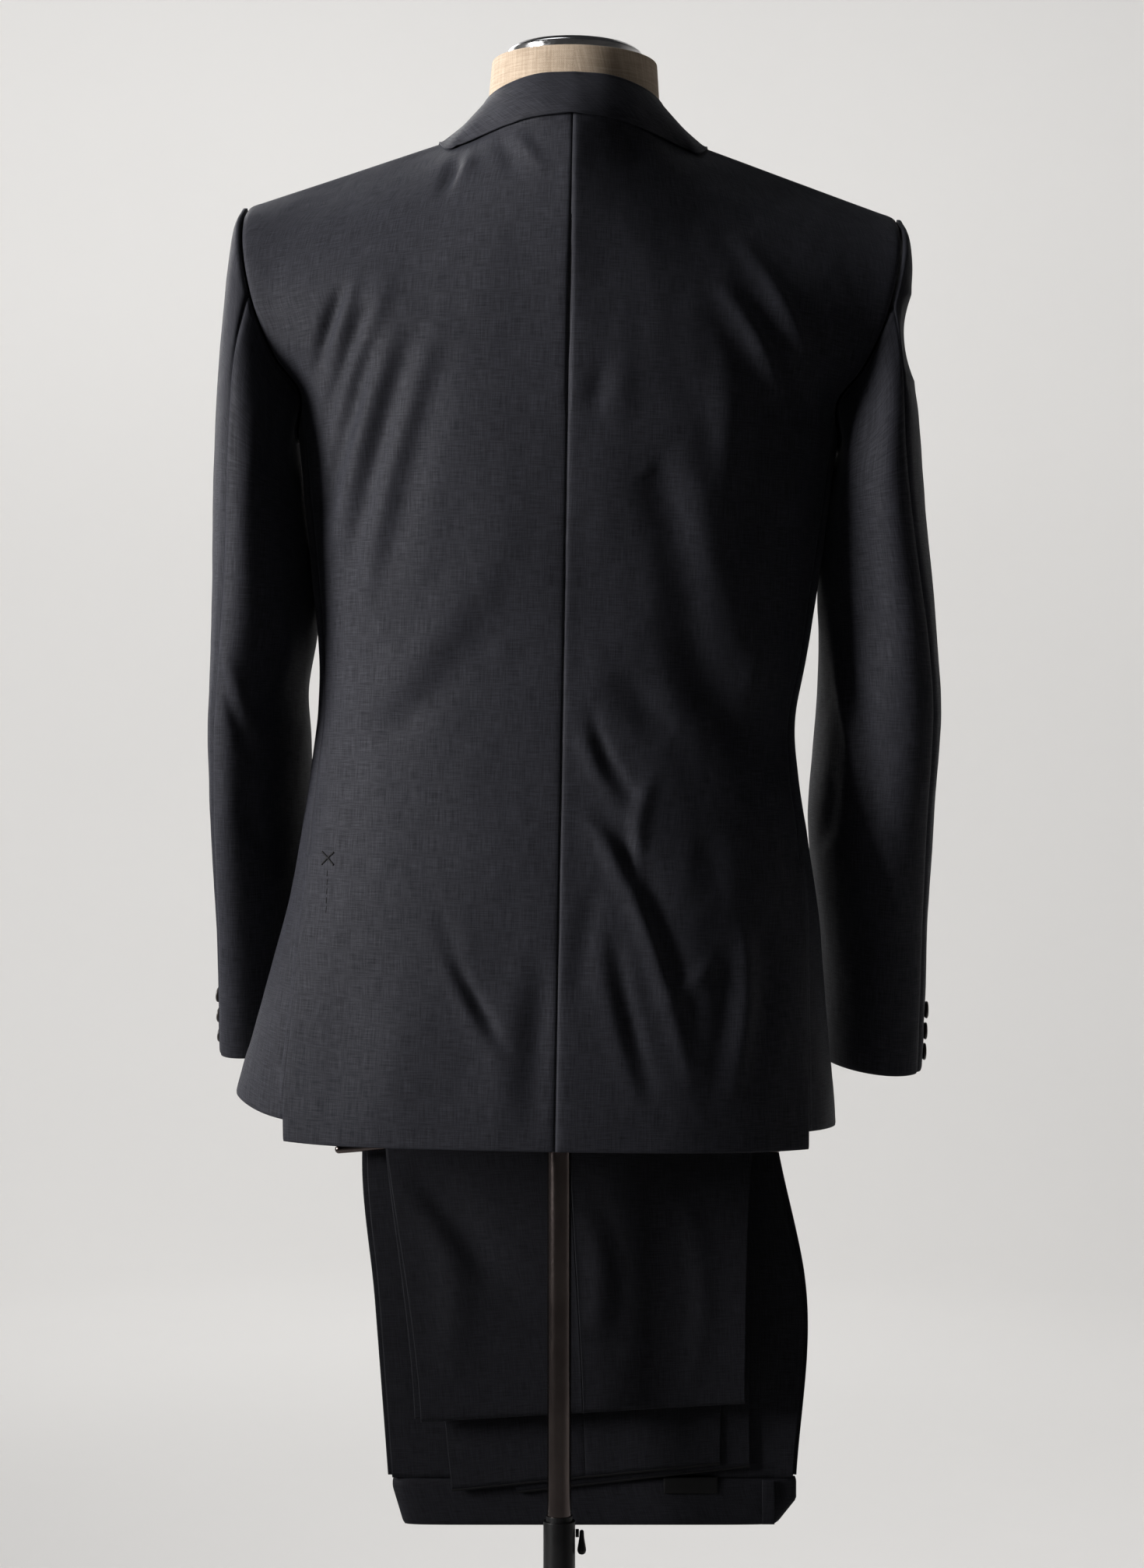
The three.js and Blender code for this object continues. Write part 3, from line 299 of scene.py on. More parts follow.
# ---- jacket shape ----
jacket = dict(hem=757, ventTop=972, lowerTop=1250, backArmhole=1326, frontArmhole=1318,
              squareness=2.3, seamShare=0.965, hemFade=160, ventFade=170, calmBack=260, calmFront=60)
# how wide each panel is, and how tall above the level of its armhole point
panelWidth = dict(back=215, front=225, side=75)
panelRise = dict(back=215, front=225, side=60)
bodySections = rowsOf(
    "z left right back front",
    (740, 256, 220, 122, 128), (790, 249, 216, 121, 127), (840, 236, 211, 119, 125),
    (890, 223, 206, 116, 122), (940, 210, 201, 112, 119), (1000, 201, 191, 106, 115),
    (1040, 196, 184, 101, 113), (1080, 192, 181, 98, 112), (1130, 192, 189, 101, 117),
    (1190, 198, 197, 110, 124), (1250, 205, 205, 118, 129), (1330, 214, 214, 124, 130))
backSeam = rowsOf(
    "z left right",
    (740, 0.80, 0.87), (860, 0.87, 0.905), (980, 0.95, 0.945), (1100, 0.965, 0.965),
    (1330, 0.965, 0.965))
hemRise = dict(left=26, right=8)
# at each vent the back hangs lower and the side panel is cut shorter
ventHang = dict(left=dict(back=-6, side=9.5), right=dict(back=-4, side=9))
armhole = rowsOf(
    "x y z",
    (252, 2, 1477), (254, 24, 1463), (252.5, 43, 1440), (247, 56, 1411), (238, 61, 1381),
    (224, 56, 1351), (207, 41, 1326), (209.5, 20, 1303), (209.5, -4, 1293), (209, -27, 1299),
    (206, -45, 1318), (206, -62, 1345), (213, -70, 1374), (226, -66, 1405), (240, -48, 1436),
    (250, -23, 1462))
neckSeam = rowsOf("x y z", (0, 93, 1538), (31, 88, 1538), (59, 62, 1538), (76, 10, 1537))
centreBack = rowsOf(
    "x y z",
    (0, 124, 1326), (0, 126, 1370), (0, 124, 1412), (0, 118, 1452), (0, 108, 1496), (0, 93, 1538))
rollLine = rowsOf(
    "x y z",
    (40, -127, 1318), (49, -120, 1376), (57, -104, 1432), (64, -78, 1480), (71, -38, 1518),
    (76, 10, 1537))
sides = dict(left=1, right=-1)
power = 2 / jacket["squareness"]


def bodyPoint(side, angle, z, inset=0.0):
    turn = math.radians(angle)
    half = read(bodySections, z, side) - inset
    depth = read(bodySections, z, "back" if math.cos(turn) > 0 else "front") - inset
    x = half * abs(math.sin(turn)) ** power * (-1 if math.sin(turn) < 0 else 1)
    y = math.copysign(depth * abs(math.cos(turn)) ** power, math.cos(turn))
    return np.array([sides[side] * x, y, z])


def angleAtShare(share):
    return math.degrees(math.asin(share ** (1 / power)))


frontSeamAngle = 180 - angleAtShare(jacket["seamShare"])


def backSeamAngle(side, z):
    return angleAtShare(read(backSeam, z, side))


def hemLift(side, angle, z):
    fade = clamp01(1 - (z - jacket["hem"]) / jacket["hemFade"])
    return hemRise[side] * math.sin(math.radians(angle)) ** 6 * fade


def onBody(side, angle, z, inset=0.0):
    return bodyPoint(side, angle, z + hemLift(side, angle, z), inset)


def ventDrop(side, key, share, z):
    return z + ventHang[side][key] * share * clamp01(1 - (z - jacket["hem"]) / jacket["ventFade"])


armholeOf = {}
for side in sides:
    ring = [dict(row) for row in armhole]
    for k, spot in ((6, bodyPoint(side, backSeamAngle(side, jacket["backArmhole"]), jacket["backArmhole"])),
                    (10, bodyPoint(side, frontSeamAngle, jacket["frontArmhole"]))):
        ring[k]["x"], ring[k]["y"] = abs(spot[0]), spot[1]
    armholeOf[side] = ring + [ring[0]]


def armholePoint(side, k):
    p = along(armholeOf[side], k % len(armhole))
    p[0] *= sides[side]
    return p


def mirrored(p, side):
    return np.array([p[0] * sides[side], p[1], p[2]])


def patch(bottom, top, start, end, across, upward):
    rows = []
    corners = [[edge(0.0), edge(1.0)] for edge in (start, end)]
    bottoms, tops = [bottom(s) for s in across], [top(s) for s in across]
    for q in upward:
        lift = q * q * (1.6 - 0.6 * q)
        pulls = [edge(q) - (pair[0] * (1 - lift) + pair[1] * lift)
                 for edge, pair in zip((start, end), corners)]
        rows.append([low * (1 - lift) + high * lift + pulls[0] * (1 - s) + pulls[1] * s
                     for s, low, high in zip(across, bottoms, tops)])
    return np.array(rows)


def levelsTo(top, step):
    return [mix(jacket["hem"], top, t) for t in stops(top - jacket["hem"], step)]


shoulderTip = along(armhole, 0)
neckPoint = along(neckSeam, 3)


def backGrid(side, step):
    across = stops(panelWidth["back"], step)
    heights = levelsTo(jacket["backArmhole"], step)

    def lowerPoint(s, level):
        z = ventDrop(side, "back", s ** 3, level)
        return onBody(side, backSeamAngle(side, z) * s, z)

    def top(s):
        return mirrored(along(neckSeam, s * 8) if s <= 0.375
                        else mix(neckPoint, shoulderTip, (s - 0.375) / 0.625), side)

    seamAngle = backSeamAngle(side, jacket["backArmhole"])
    upper = patch(lambda s: bodyPoint(side, seamAngle * s, jacket["backArmhole"]), top,
                  lambda q: along(centreBack, q * 5),
                  lambda q: armholePoint(side, 6 * (1 - q)),
                  across, stops(panelRise["back"], step))
    points = np.concatenate([gridOf(lowerPoint, across, heights), upper[1:]])
    return ease(points, len(heights) - 10, len(points) - 1, jacket["calmBack"])


front = dict(overlap=18, breakAt=1092, cutaway=92, cutawayFrom=985, inset=2.5, insetFrom=1318,
             insetOver=90)


def frontEdgeX(z):
    drop = clamp01((front["cutawayFrom"] - z) / (front["cutawayFrom"] - jacket["hem"]))
    edge = -front["overlap"] + front["cutaway"] * drop ** 2.3
    if z >= front["breakAt"]:
        rise = (z - front["breakAt"]) / (jacket["frontArmhole"] - front["breakAt"])
        edge = mix(-front["overlap"], rollLine[0]["x"], rise)
    return edge


def frontRing(side, s, z):
    # the left front laps over the right one below the roll line
    half, depth = read(bodySections, z, side), read(bodySections, z, "front")
    turn = math.radians((180 - frontSeamAngle) * s)
    x = mix(frontEdgeX(z), half * math.sin(turn) ** power, clamp01(s * 1.6))
    y = -depth * (1 - min(1.0, abs(x) / half) ** jacket["squareness"]) ** (1 / jacket["squareness"])
    if s == 1:
        return onBody(side, frontSeamAngle, z)
    below = smooth((front["insetFrom"] - z) / front["insetOver"])
    lap = (0 if side == "left" else front["inset"]) * below
    return np.array([sides[side] * x, y + lap * (1 - smooth(4 * s - 1)),
                     z + hemLift(side, frontSeamAngle, z) * s * s])


def frontGrid(side, step):
    across = stops(panelWidth["front"], step)
    heights = levelsTo(jacket["frontArmhole"], step)
    lower = gridOf(lambda s, z: frontRing(side, s, z), across, heights)
    upper = patch(lambda s: frontRing(side, s, jacket["frontArmhole"]),
                  lambda s: mirrored(mix(neckPoint, shoulderTip, s), side),
                  lambda q: mirrored(along(rollLine, q * 5), side),
                  lambda q: armholePoint(side, 10 + 6 * q),
                  across, stops(panelRise["front"], step))
    return ease(np.concatenate([lower, upper[1:]]), len(heights) - 10, len(heights) + 11,
                jacket["calmFront"])


def sideGrid(side, step):
    across = stops(panelWidth["side"], step)
    rims = [armholePoint(side, 6 + 4 * u) for u in across]
    rows = []
    for level in levelsTo(jacket["lowerTop"], step):
        levels = [ventDrop(side, "side", 1 - u, level) for u in across]
        rows.append([onBody(side, mix(backSeamAngle(side, z), frontSeamAngle, u), z)
                     for u, z in zip(across, levels)])
    misses = [rim - bodyPoint(side, mix(backSeamAngle(side, rim[2]), frontSeamAngle, u), rim[2])
              for rim, u in zip(rims, across)]
    for w in stops(panelRise["side"], step)[1:]:
        row = []
        for rim, miss, u in zip(rims, misses, across):
            z = mix(jacket["lowerTop"], rim[2], w)
            angle = mix(backSeamAngle(side, z), frontSeamAngle, u)
            row.append(bodyPoint(side, angle, z) + miss * smooth(w))
        rows.append(row)
    return np.array(rows)


# Sleeve sections below the armhole: centre, thin and long half axes, turn of the back end outwards,
# and lift of the front edge.
sleeveSections = dict(
    left=rowsOf(
        "z x y thin long turn lift",
        (1250, 239.5, 2, 33.5, 84, 5, 0), (1200, 236, 0, 36, 80, 8, 0), (1150, 235, -4, 36.5, 76, 12, 0),
        (1100, 239, -10, 32, 73, 14, 1), (1060, 238.5, -18, 31.5, 70, 18, 2),
        (1010, 237.5, -32, 30, 67, 22, 3), (960, 235, -50, 29, 63, 27, 5), (910, 233, -72, 28, 59, 33, 7),
        (860, 233.5, -95, 28, 56, 37, 9), (812, 234, -118, 28, 54, 40, 10)),
    right=rowsOf(
        "z x y thin long turn lift",
        (1250, 239, 2, 37, 84, 6, 0), (1200, 240, 0, 40, 80, 11, 0), (1150, 244.5, -4, 39.5, 76, 16, 0),
        (1100, 247, -10, 41, 73, 20, 1), (1060, 246, -17, 41, 70, 23, 2), (1010, 244.5, -28, 42, 67, 25, 3),
        (960, 246, -41, 39, 63, 27, 5), (910, 249, -55, 36, 59, 28, 7), (860, 251, -68, 35, 56, 29, 9),
        (812, 252, -80, 34, 54, 30, 10)))
sleeve = dict(capRows=6, capBulge=5, hindTop=0.185, hindCuff=0.19, hindRise=0.03, fore=0.70, length=650,
              topWidth=205, underWidth=200)


def sleeveRing(side, share, z):
    table = sleeveSections[side]
    turn = math.radians(read(table, z, "turn"))
    angle = share * 2 * math.pi
    thin = read(table, z, "thin") * math.cos(angle)
    longHalf = read(table, z, "long")
    long = longHalf * math.sin(angle)
    x = read(table, z, "x") + thin * math.cos(turn) + long * math.sin(turn)
    dy = long * math.cos(turn) - thin * math.sin(turn)
    lift = -read(table, z, "lift") * dy / longHalf
    return np.array([sides[side] * x, read(table, z, "y") + dy, z + lift])


def sleevePoint(side, share, row):
    table = sleeveSections[side]
    below = min(row - sleeve["capRows"], len(table) - 1)
    if below >= 0:
        return sleeveRing(side, share, through(table, below, "z"))
    v = row / sleeve["capRows"]
    start = armholePoint(side, share * len(armhole))
    facing = max(0.0, math.cos(share * 2 * math.pi))
    start[0] += sides[side] * (1.1 + 1.2 * facing)
    ring, below = [sleeveRing(side, share, table[k]["z"]) for k in (0, 1)]
    # leaves the armhole straight and runs into the sleeve below without a bend
    away = ring - start
    onward = (below - ring) * away[2] / (below - ring)[2]
    p = bend(start, away, ring, onward, v)
    fading = (1 - v) ** 0.8
    bulge = sleeve["capBulge"] * 1.5 * math.sin(math.pi * v ** 0.42) * (0.25 + 0.75 * facing)
    p[0] += sides[side] * bulge * fading
    p[1] += 6 * math.sin(share * 2 * math.pi) * math.sin(math.pi * v) * fading
    return p


def hindSeam(down):
    return mix(sleeve["hindTop"], sleeve["hindCuff"], down) + sleeve["hindRise"] * (1 - smooth(down / 0.2))


def sleeveGrid(side, start, end, width, step):
    rows = sleeve["capRows"] + len(sleeveSections[side]) - 1
    downs = stops(sleeve["length"], step)
    points = gridOf(lambda s, d: sleevePoint(side, mix(start(d), end(d), s), d * rows),
                    stops(width, step), downs)
    join = int(np.searchsorted(np.array(downs) * rows, sleeve["capRows"]))
    return ease(points, join - 24, join + 20, 60, 12.0, columnsOnly=True)


# ---- creases ----
# Each is a soft line through three places (x, z) on the cloth, then its rise and its width on either side.
backCreases = dict(
    left=[
        (90, 1506, 94, 1493, 99, 1477, -4.4, 5, 7), (79, 1509, 80, 1497, 87, 1482, 2.4, 6, 6),
        (43, 1521, 35, 1508, 22, 1490, 2.6, 7, 6), (56, 1519, 50, 1504, 45, 1488, -2.6, 6, 7),
        (172, 1399, 182, 1374, 191, 1340, -5.6, 6, 9), (163, 1404, 170, 1380, 182, 1350, 3.2, 7, 6),
        (152, 1386, 164, 1358, 186, 1300, -4.8, 6, 9), (136, 1405, 152, 1370, 180, 1305, 2.6, 10, 9),
        (147, 1355, 163, 1310, 182, 1235, -4.4, 8, 10), (132, 1362, 153, 1300, 172, 1215, 3.2, 11, 10),
        (118, 1360, 143, 1276, 166, 1180, -4.0, 9, 12), (103, 1364, 128, 1280, 152, 1180, 2.4, 14, 13),
        (96, 1340, 118, 1260, 136, 1175, -2.6, 12, 16), (78, 900, 62, 870, 38, 833, -3.0, 7, 4.5),
        (84, 895, 69, 864, 46, 829, 1.6, 9, 7), (92, 936, 83, 916, 77, 898, -1.4, 9, 9),
        (10, 894, 15, 839, 15, 784, -2.4, 14, 10), (31, 882, 37, 830, 40, 772, 1.2, 16, 14),
        (51, 1208, 96, 1131, 152, 1075, 2.4, 24, 20), (73, 1132, 118, 1081, 164, 1054, -2.2, 22, 18),
        (177, 1089, 164, 1043, 146, 997, -1.4, 20, 18), (114, 858, 122, 811, 124, 763, 1.6, 24, 24),
        (161, 886, 166, 828, 168, 766, -1.4, 22, 22),
    ],
    right=[
        (-37, 1518, -44, 1506, -49, 1492, -1.4, 8, 8), (-99, 1492, -113, 1481, -132, 1473, 1.2, 12, 10),
        (-127, 1441, -157, 1399, -186, 1341, 2.8, 9, 8), (-110, 1405, -139, 1369, -167, 1319, 2.6, 9, 8),
        (-132, 1402, -160, 1354, -174, 1311, -3.0, 9, 8),
        (-108, 1379, -132, 1349, -148, 1304, -1.8, 11, 11), (-186, 1340, -191, 1305, -193, 1270, 2.0, 8, 8),
        (-152, 1328, -142, 1263, -150, 1200, -3.6, 22, 17),
        (-113, 1339, -121, 1292, -117, 1216, 2.6, 16, 15), (-26, 1344, -22, 1326, -22, 1309, -1.3, 8, 8),
        (-40, 1349, -38, 1326, -35, 1291, 1.0, 12, 12), (-63, 1268, -78, 1229, -105, 1106, -3.4, 20, 18),
        (-88, 1292, -109, 1211, -137, 1118, 1.8, 20, 18), (-90, 1152, -120, 1094, -170, 1043, -4.2, 22, 22),
        (-151, 1153, -147, 1124, -142, 1095, 2.2, 13, 13), (-44, 1116, -61, 1090, -81, 1067, -2.8, 18, 16),
        (-24, 1084, -31, 1055, -53, 1022, -2.8, 8, 5), (-17, 1075, -24, 1046, -45, 1012, 1.8, 8, 7),
        (-21, 1002, -60, 935, -99, 812, 3.0, 9, 6), (-37, 1000, -74, 931, -110, 832, -3.0, 7, 12),
        (-68, 1035, -57, 999, -60, 954, 2.2, 8, 7), (-50, 1000, -51, 977, -54, 948, -2.0, 8, 6),
        (-41, 916, -52, 860, -71, 800, -2.6, 9, 7), (-31, 910, -43, 855, -59, 800, 1.6, 10, 8),
        (-28, 953, -19, 912, -14, 866, -1.8, 12, 10), (-136, 926, -142, 880, -134, 807, 3.0, 10, 9),
        (-155, 932, -159, 874, -151, 804, -2.4, 14, 12), (-120, 902, -124, 862, -116, 803, -2.0, 9, 10),
        (-120, 905, -100, 883, -81, 869, 1.8, 9, 9), (-109, 995, -113, 972, -116, 943, -1.8, 14, 12),
    ])
frontCreases = dict(
    left=[
        (26, 1066, 74, 1050, 130, 1062, -1.8, 10, 12), (20, 1090, 60, 1110, 112, 1150, 1.5, 13, 13),
        (188, 1330, 168, 1285, 160, 1226, -2.6, 11, 12), (172, 1338, 148, 1292, 140, 1240, 1.8, 12, 12),
        (92, 960, 110, 880, 118, 790, -1.8, 18, 20), (160, 940, 172, 870, 180, 800, 2.0, 18, 18),
        (70, 1480, 120, 1466, 180, 1458, 1.0, 14, 12),
    ],
    right=[
        (-40, 1064, -88, 1046, -140, 1066, -2.0, 11, 11), (-30, 1096, -74, 1120, -120, 1168, 1.4, 13, 14),
        (-192, 1326, -172, 1275, -168, 1210, -2.4, 12, 12),
        (-170, 1340, -152, 1300, -148, 1244, 1.6, 12, 12), (-96, 955, -118, 866, -120, 784, -2.0, 19, 18),
        (-150, 930, -166, 866, -170, 800, 1.8, 17, 18),
    ])
# On a sleeve, "back" creases show on the half that faces the wearer's back and "front" ones on the other.
sleeveCreases = dict(
    left=dict(back=[
        (227, 1348, 223, 1306, 227, 1258, -2.5, 7, 9), (237, 1347, 236, 1294, 239, 1246, 1.2, 7, 7),
        (271, 1128, 255, 1088, 237, 1039, -2.0, 6, 9), (264, 1133, 248, 1094, 230, 1052, 1.4, 8, 7),
        (240, 1033, 241, 996, 230, 974, -2.2, 8, 8), (271, 1054, 270, 1030, 267, 1002, -1.0, 8, 8),
        (217, 1171, 213, 1141, 212, 1110, 1.6, 6, 6),
    ], front=[
        (262, 1110, 240, 1092, 216, 1098, -3.2, 8, 9), (262, 1066, 238, 1052, 214, 1060, -2.8, 7, 9),
        (260, 1088, 238, 1072, 214, 1078, 2.0, 8, 8), (232, 1330, 238, 1270, 236, 1200, -1.8, 10, 10),
    ]),
    right=dict(both=[
        (-262, 1412, -266, 1380, -264, 1345, -8.5, 18, 22),
    ], back=[
        (-228, 1326, -214, 1272, -210, 1218, 2.2, 8, 7), (-205, 1168, -215, 1105, -227, 1046, 2.6, 5, 6),
        (-218, 1120, -235, 1046, -246, 992, -3.0, 8, 11), (-212, 1073, -210, 1014, -204, 982, -1.8, 6, 7),
        (-236, 1026, -257, 969, -263, 923, 1.8, 9, 9), (-224, 1256, -230, 1195, -243, 1129, -1.8, 12, 12),
    ], front=[
        (-272, 1112, -244, 1092, -214, 1100, -3.0, 9, 9), (-270, 1062, -244, 1048, -214, 1058, -2.6, 8, 9),
        (-270, 1088, -244, 1070, -214, 1080, 2.0, 8, 8), (-236, 1330, -244, 1268, -240, 1196, -1.6, 10, 10),
    ]))


def creased(points, creases, outwardY=None):
    # creases that show on both faces are a list, and others are lists under the names of their faces
    total = np.zeros(points.shape[:2])
    byFace = creases if isinstance(creases, dict) else dict(both=creases)
    for face, rows in byFace.items():
        towards = outwardY if face == "back" else -outwardY if face == "front" else None
        shown = 1.0 if towards is None else np.clip(0.15 + 1.6 * towards, 0, 1)
        for crease in rows:
            total += creaseHeight(points[..., 0], points[..., 2], crease) * shown
    return total


def awayFromAxis(p):
    return Vector((p.x, p.y, 0))


def outwardNormals(points, outward):
    normals = gridNormals(points)
    middle = points.shape[0] // 2, points.shape[1] // 2
    return normals * (1 if Vector(normals[middle]).dot(outward(Vector(points[middle]))) > 0 else -1)
# ---- finishes ----
def newGroup(name, inputs, outputs):
    group = bpy.data.node_groups.new(name, "ShaderNodeTree")
    for kind, label, value in inputs:
        socket = group.interface.new_socket(label, in_out="INPUT", socket_type=f"NodeSocket{kind}")
        if value is not None:
            socket.default_value = value
    for label in outputs:
        group.interface.new_socket(label, in_out="OUTPUT", socket_type="NodeSocketFloat")
    return group, group.nodes.new("NodeGroupInput").outputs, group.nodes.new("NodeGroupOutput").inputs


def setSockets(tree, node, values):
    # a socket takes a wire from another node's output, or a plain value
    for name, value in values.items():
        if isinstance(value, bpy.types.NodeSocket):
            tree.links.new(value, node.inputs[name])
        else:
            node.inputs[name].default_value = value


def addNode(tree, kind, values=None, **settings):
    node = tree.nodes.new(f"ShaderNode{kind}")
    for name, value in settings.items():
        setattr(node, name, value)
    setSockets(tree, node, values or {})
    return node


def addMath(tree, kind, a, b):
    return addNode(tree, "Math", {0: a, 1: b}, operation=kind).outputs[0]


def times(tree, a, b):
    return addMath(tree, "MULTIPLY", a, b)


def addStretched(tree, vector, count, alongShare, acrossShare, detailLevel):
    # noise drawn out along one yarn direction
    counts = {axis: times(tree, count, share) for axis, share in enumerate((alongShare, acrossShare))}
    scale = addNode(tree, "CombineXYZ", counts).outputs[0]
    scaled = addNode(tree, "VectorMath", {0: vector, 1: scale}, operation="MULTIPLY")
    return addNode(tree, "TexNoise", {"Scale": 1.0, "Detail": detailLevel, "Roughness": 0.6,
                                      "Vector": scaled.outputs[0]}).outputs[0]


weaveLook = dict(long=0.62, weft=0.032, warp=0.026, fleck=0.9, fleckShare=0.3, overUnder=0.3)


def makeWeave():
    # plain weave with uneven yarns: how light each place is, and how high it stands
    group, given, gives = newGroup(
        "plainWeave",
        [("Vector", "Cloth", None), ("Float", "Yarns per metre", 2000.0), ("Float", "Slub", 0.5)],
        ["Tone", "Height"])
    cloth, yarns, slub = given[0], given[1], given[2]
    look = weaveLook
    weft = addStretched(group, cloth, yarns, look["weft"], look["long"], 2.0)
    warp = addStretched(group, cloth, yarns, look["long"], look["warp"], 2.0)
    fleck = addStretched(group, cloth, yarns, look["fleck"], look["fleck"], 1.0)
    even = times(group, addMath(group, "ADD", weft, warp), 0.5)
    drawn = times(group, addMath(group, "SUBTRACT", even, 0.5), slub)
    dotted = times(group, addMath(group, "SUBTRACT", fleck, 0.5), look["fleckShare"])
    tone = addMath(group, "ADD", addMath(group, "ADD", drawn, dotted), 0.5)
    turn = times(group, yarns, 2 * math.pi)
    parts = addNode(group, "SeparateXYZ", {0: cloth}).outputs
    waves = [addMath(group, "SINE", times(group, parts[k], turn), 0.0) for k in (0, 1)]
    height = addMath(group, "ADD", times(group, times(group, *waves), look["overUnder"]), tone)
    group.links.new(tone, gives[0])
    group.links.new(height, gives[1])
    return group


def makeWear():
    # slow handling marks and dust over a whole piece
    group, given, gives = newGroup("handling", [("Vector", "Place", None), ("Float", "Size", 12.0)],
                                   ["Marks", "Fine"])
    for k, (finer, level) in enumerate(((1.0, 3.0), (14.0, 2.0))):
        grain = addNode(group, "TexNoise", {"Detail": level, "Scale": times(group, given[1], finer),
                                            "Vector": given[0]})
        group.links.new(grain.outputs[0], gives[k])
    return group


weaveGroup = makeWeave()
wearGroup = makeWear()


def newMaterial(name):
    material = bpy.data.materials.new(name)
    material.use_nodes = True
    return material, material.node_tree, material.node_tree.nodes["Principled BSDF"]


def addRamp(tree, source, low, high):
    ramp = addNode(tree, "ValToRGB", {0: source})
    for element, place, colour in zip(ramp.color_ramp.elements, (0.3, 0.7), (low, high)):
        element.position = place
        element.color = (*colour, 1)
    return ramp.outputs[0]


def addRange(tree, source, low, high):
    return addNode(tree, "MapRange", {"From Min": 0.3, "From Max": 0.7, "To Min": low, "To Max": high,
                                      "Value": source}).outputs[0]


def addWear(tree, size):
    place = addNode(tree, "TexCoord").outputs["Object"]
    return addNode(tree, "Group", {"Size": size, "Place": place}, node_tree=wearGroup).outputs


def addBump(tree, height, strength, depth):
    return addNode(tree, "Bump", {"Strength": strength, "Distance": depth, "Height": height}).outputs[0]


def clothMaterial(name, look):
    material, tree, shader = newMaterial(name)
    cloth = addNode(tree, "UVMap", uv_map="UVMap").outputs[0]
    given = {"Yarns per metre": look["yarns"], "Slub": look["slub"], "Cloth": cloth}
    tone, height = addNode(tree, "Group", given, node_tree=weaveGroup).outputs
    yarn = addRamp(tree, tone, look["dark"], look["light"])
    patches = addRamp(tree, addWear(tree, look["patchSize"])[0], (look["patchLow"],) * 3, (1.0, 1.0, 1.0))
    colour = addNode(tree, "Mix", {0: 1.0, 6: yarn, 7: patches}, data_type="RGBA", blend_type="MULTIPLY")
    setSockets(tree, shader, {
        "Base Color": colour.outputs[2], "Roughness": addRange(tree, tone, *look["rough"][::-1]),
        "Specular IOR Level": look["specular"], "Sheen Weight": look["sheen"],
        "Sheen Roughness": look["sheenRough"], "Sheen Tint": (*look["sheenTint"], 1),
        "Normal": addBump(tree, height, look["bump"], look["bumpDepth"])})
    return material


woolLook = dict(yarns=2100.0, slub=1.3, patchSize=7.0, patchLow=0.86, dark=(0.0073, 0.0076, 0.0106),
                light=(0.0255, 0.0262, 0.0342), rough=(0.60, 0.78), specular=0.14, sheen=0.06,
                sheenRough=0.40, sheenTint=(0.80, 0.84, 0.95), bump=0.25, bumpDepth=0.0005)
linenLook = dict(yarns=1100.0, slub=1.4, patchSize=9.0, patchLow=0.88, dark=(0.37, 0.285, 0.205),
                 light=(0.55, 0.44, 0.335), rough=(0.80, 0.95), specular=0.25, sheen=0.12,
                 sheenRough=0.5, sheenTint=(1.0, 0.95, 0.88), bump=0.5, bumpDepth=0.0009)
tapeLook = dict(yarns=1700.0, slub=0.5, patchSize=30.0, patchLow=0.9, dark=(0.0015, 0.0015, 0.0018),
                light=(0.004, 0.004, 0.0045), rough=(0.5, 0.65), specular=0.15, sheen=0.02,
                sheenRough=0.4, sheenTint=(1.0, 1.0, 1.0), bump=0.3, bumpDepth=0.0004)
threadLook = dict(yarns=2600.0, slub=0.6, patchSize=40.0, patchLow=0.9, dark=(0.0015, 0.0015, 0.002),
                  light=(0.005, 0.005, 0.006), rough=(0.55, 0.7), specular=0.15, sheen=0.03,
                  sheenRough=0.4, sheenTint=(0.9, 0.9, 1.0), bump=0.2, bumpDepth=0.0002)
# the trousers hang in the jacket's shade: this is the suit wool with painted shade, its colours halved
trouserPaintedShadeLook = {**woolLook, "dark": tuple(c * 0.5 for c in woolLook["dark"]),
               "light": tuple(c * 0.5 for c in woolLook["light"]), "specular": 0.10, "sheen": 0.04}


def hardMaterial(name, look):
    material, tree, shader = newMaterial(name)
    marks, fine = addWear(tree, look["patchSize"])
    setSockets(tree, shader, {
        "Base Color": addRamp(tree, marks, look["dark"], look["light"]),
        "Roughness": addRange(tree, fine, *look["rough"]), "Metallic": look["metal"],
        "Specular IOR Level": look["specular"], "Coat Weight": look["coat"], "Coat Roughness": 0.18,
        "Normal": addBump(tree, fine, look["bump"], 0.0002)})
    return material


hornLook = dict(patchSize=160.0, dark=(0.010, 0.008, 0.007), light=(0.034, 0.027, 0.022),
                rough=(0.28, 0.42), metal=0.0, specular=0.5, coat=0.3, bump=0.05)
chromeLook = dict(patchSize=30.0, dark=(0.50, 0.50, 0.51), light=(0.66, 0.66, 0.67),
                  rough=(0.10, 0.19), metal=1.0, specular=0.5, coat=0.0, bump=0.03)
# polished metal with a brown tint in its colour: a painted reflection of brownish surroundings
paintedReflectionMetalLook = dict(patchSize=26.0, dark=(0.092, 0.075, 0.072), light=(0.13, 0.108, 0.102),
                  rough=(0.17, 0.22), metal=1.0, specular=0.5, coat=0.0, bump=0.008)
blackLook = dict(patchSize=40.0, dark=(0.004, 0.004, 0.0043), light=(0.009, 0.009, 0.0095),
                 rough=(0.34, 0.46), metal=0.0, specular=0.22, coat=0.0, bump=0.12)

wool = clothMaterial("suitWool", woolLook)
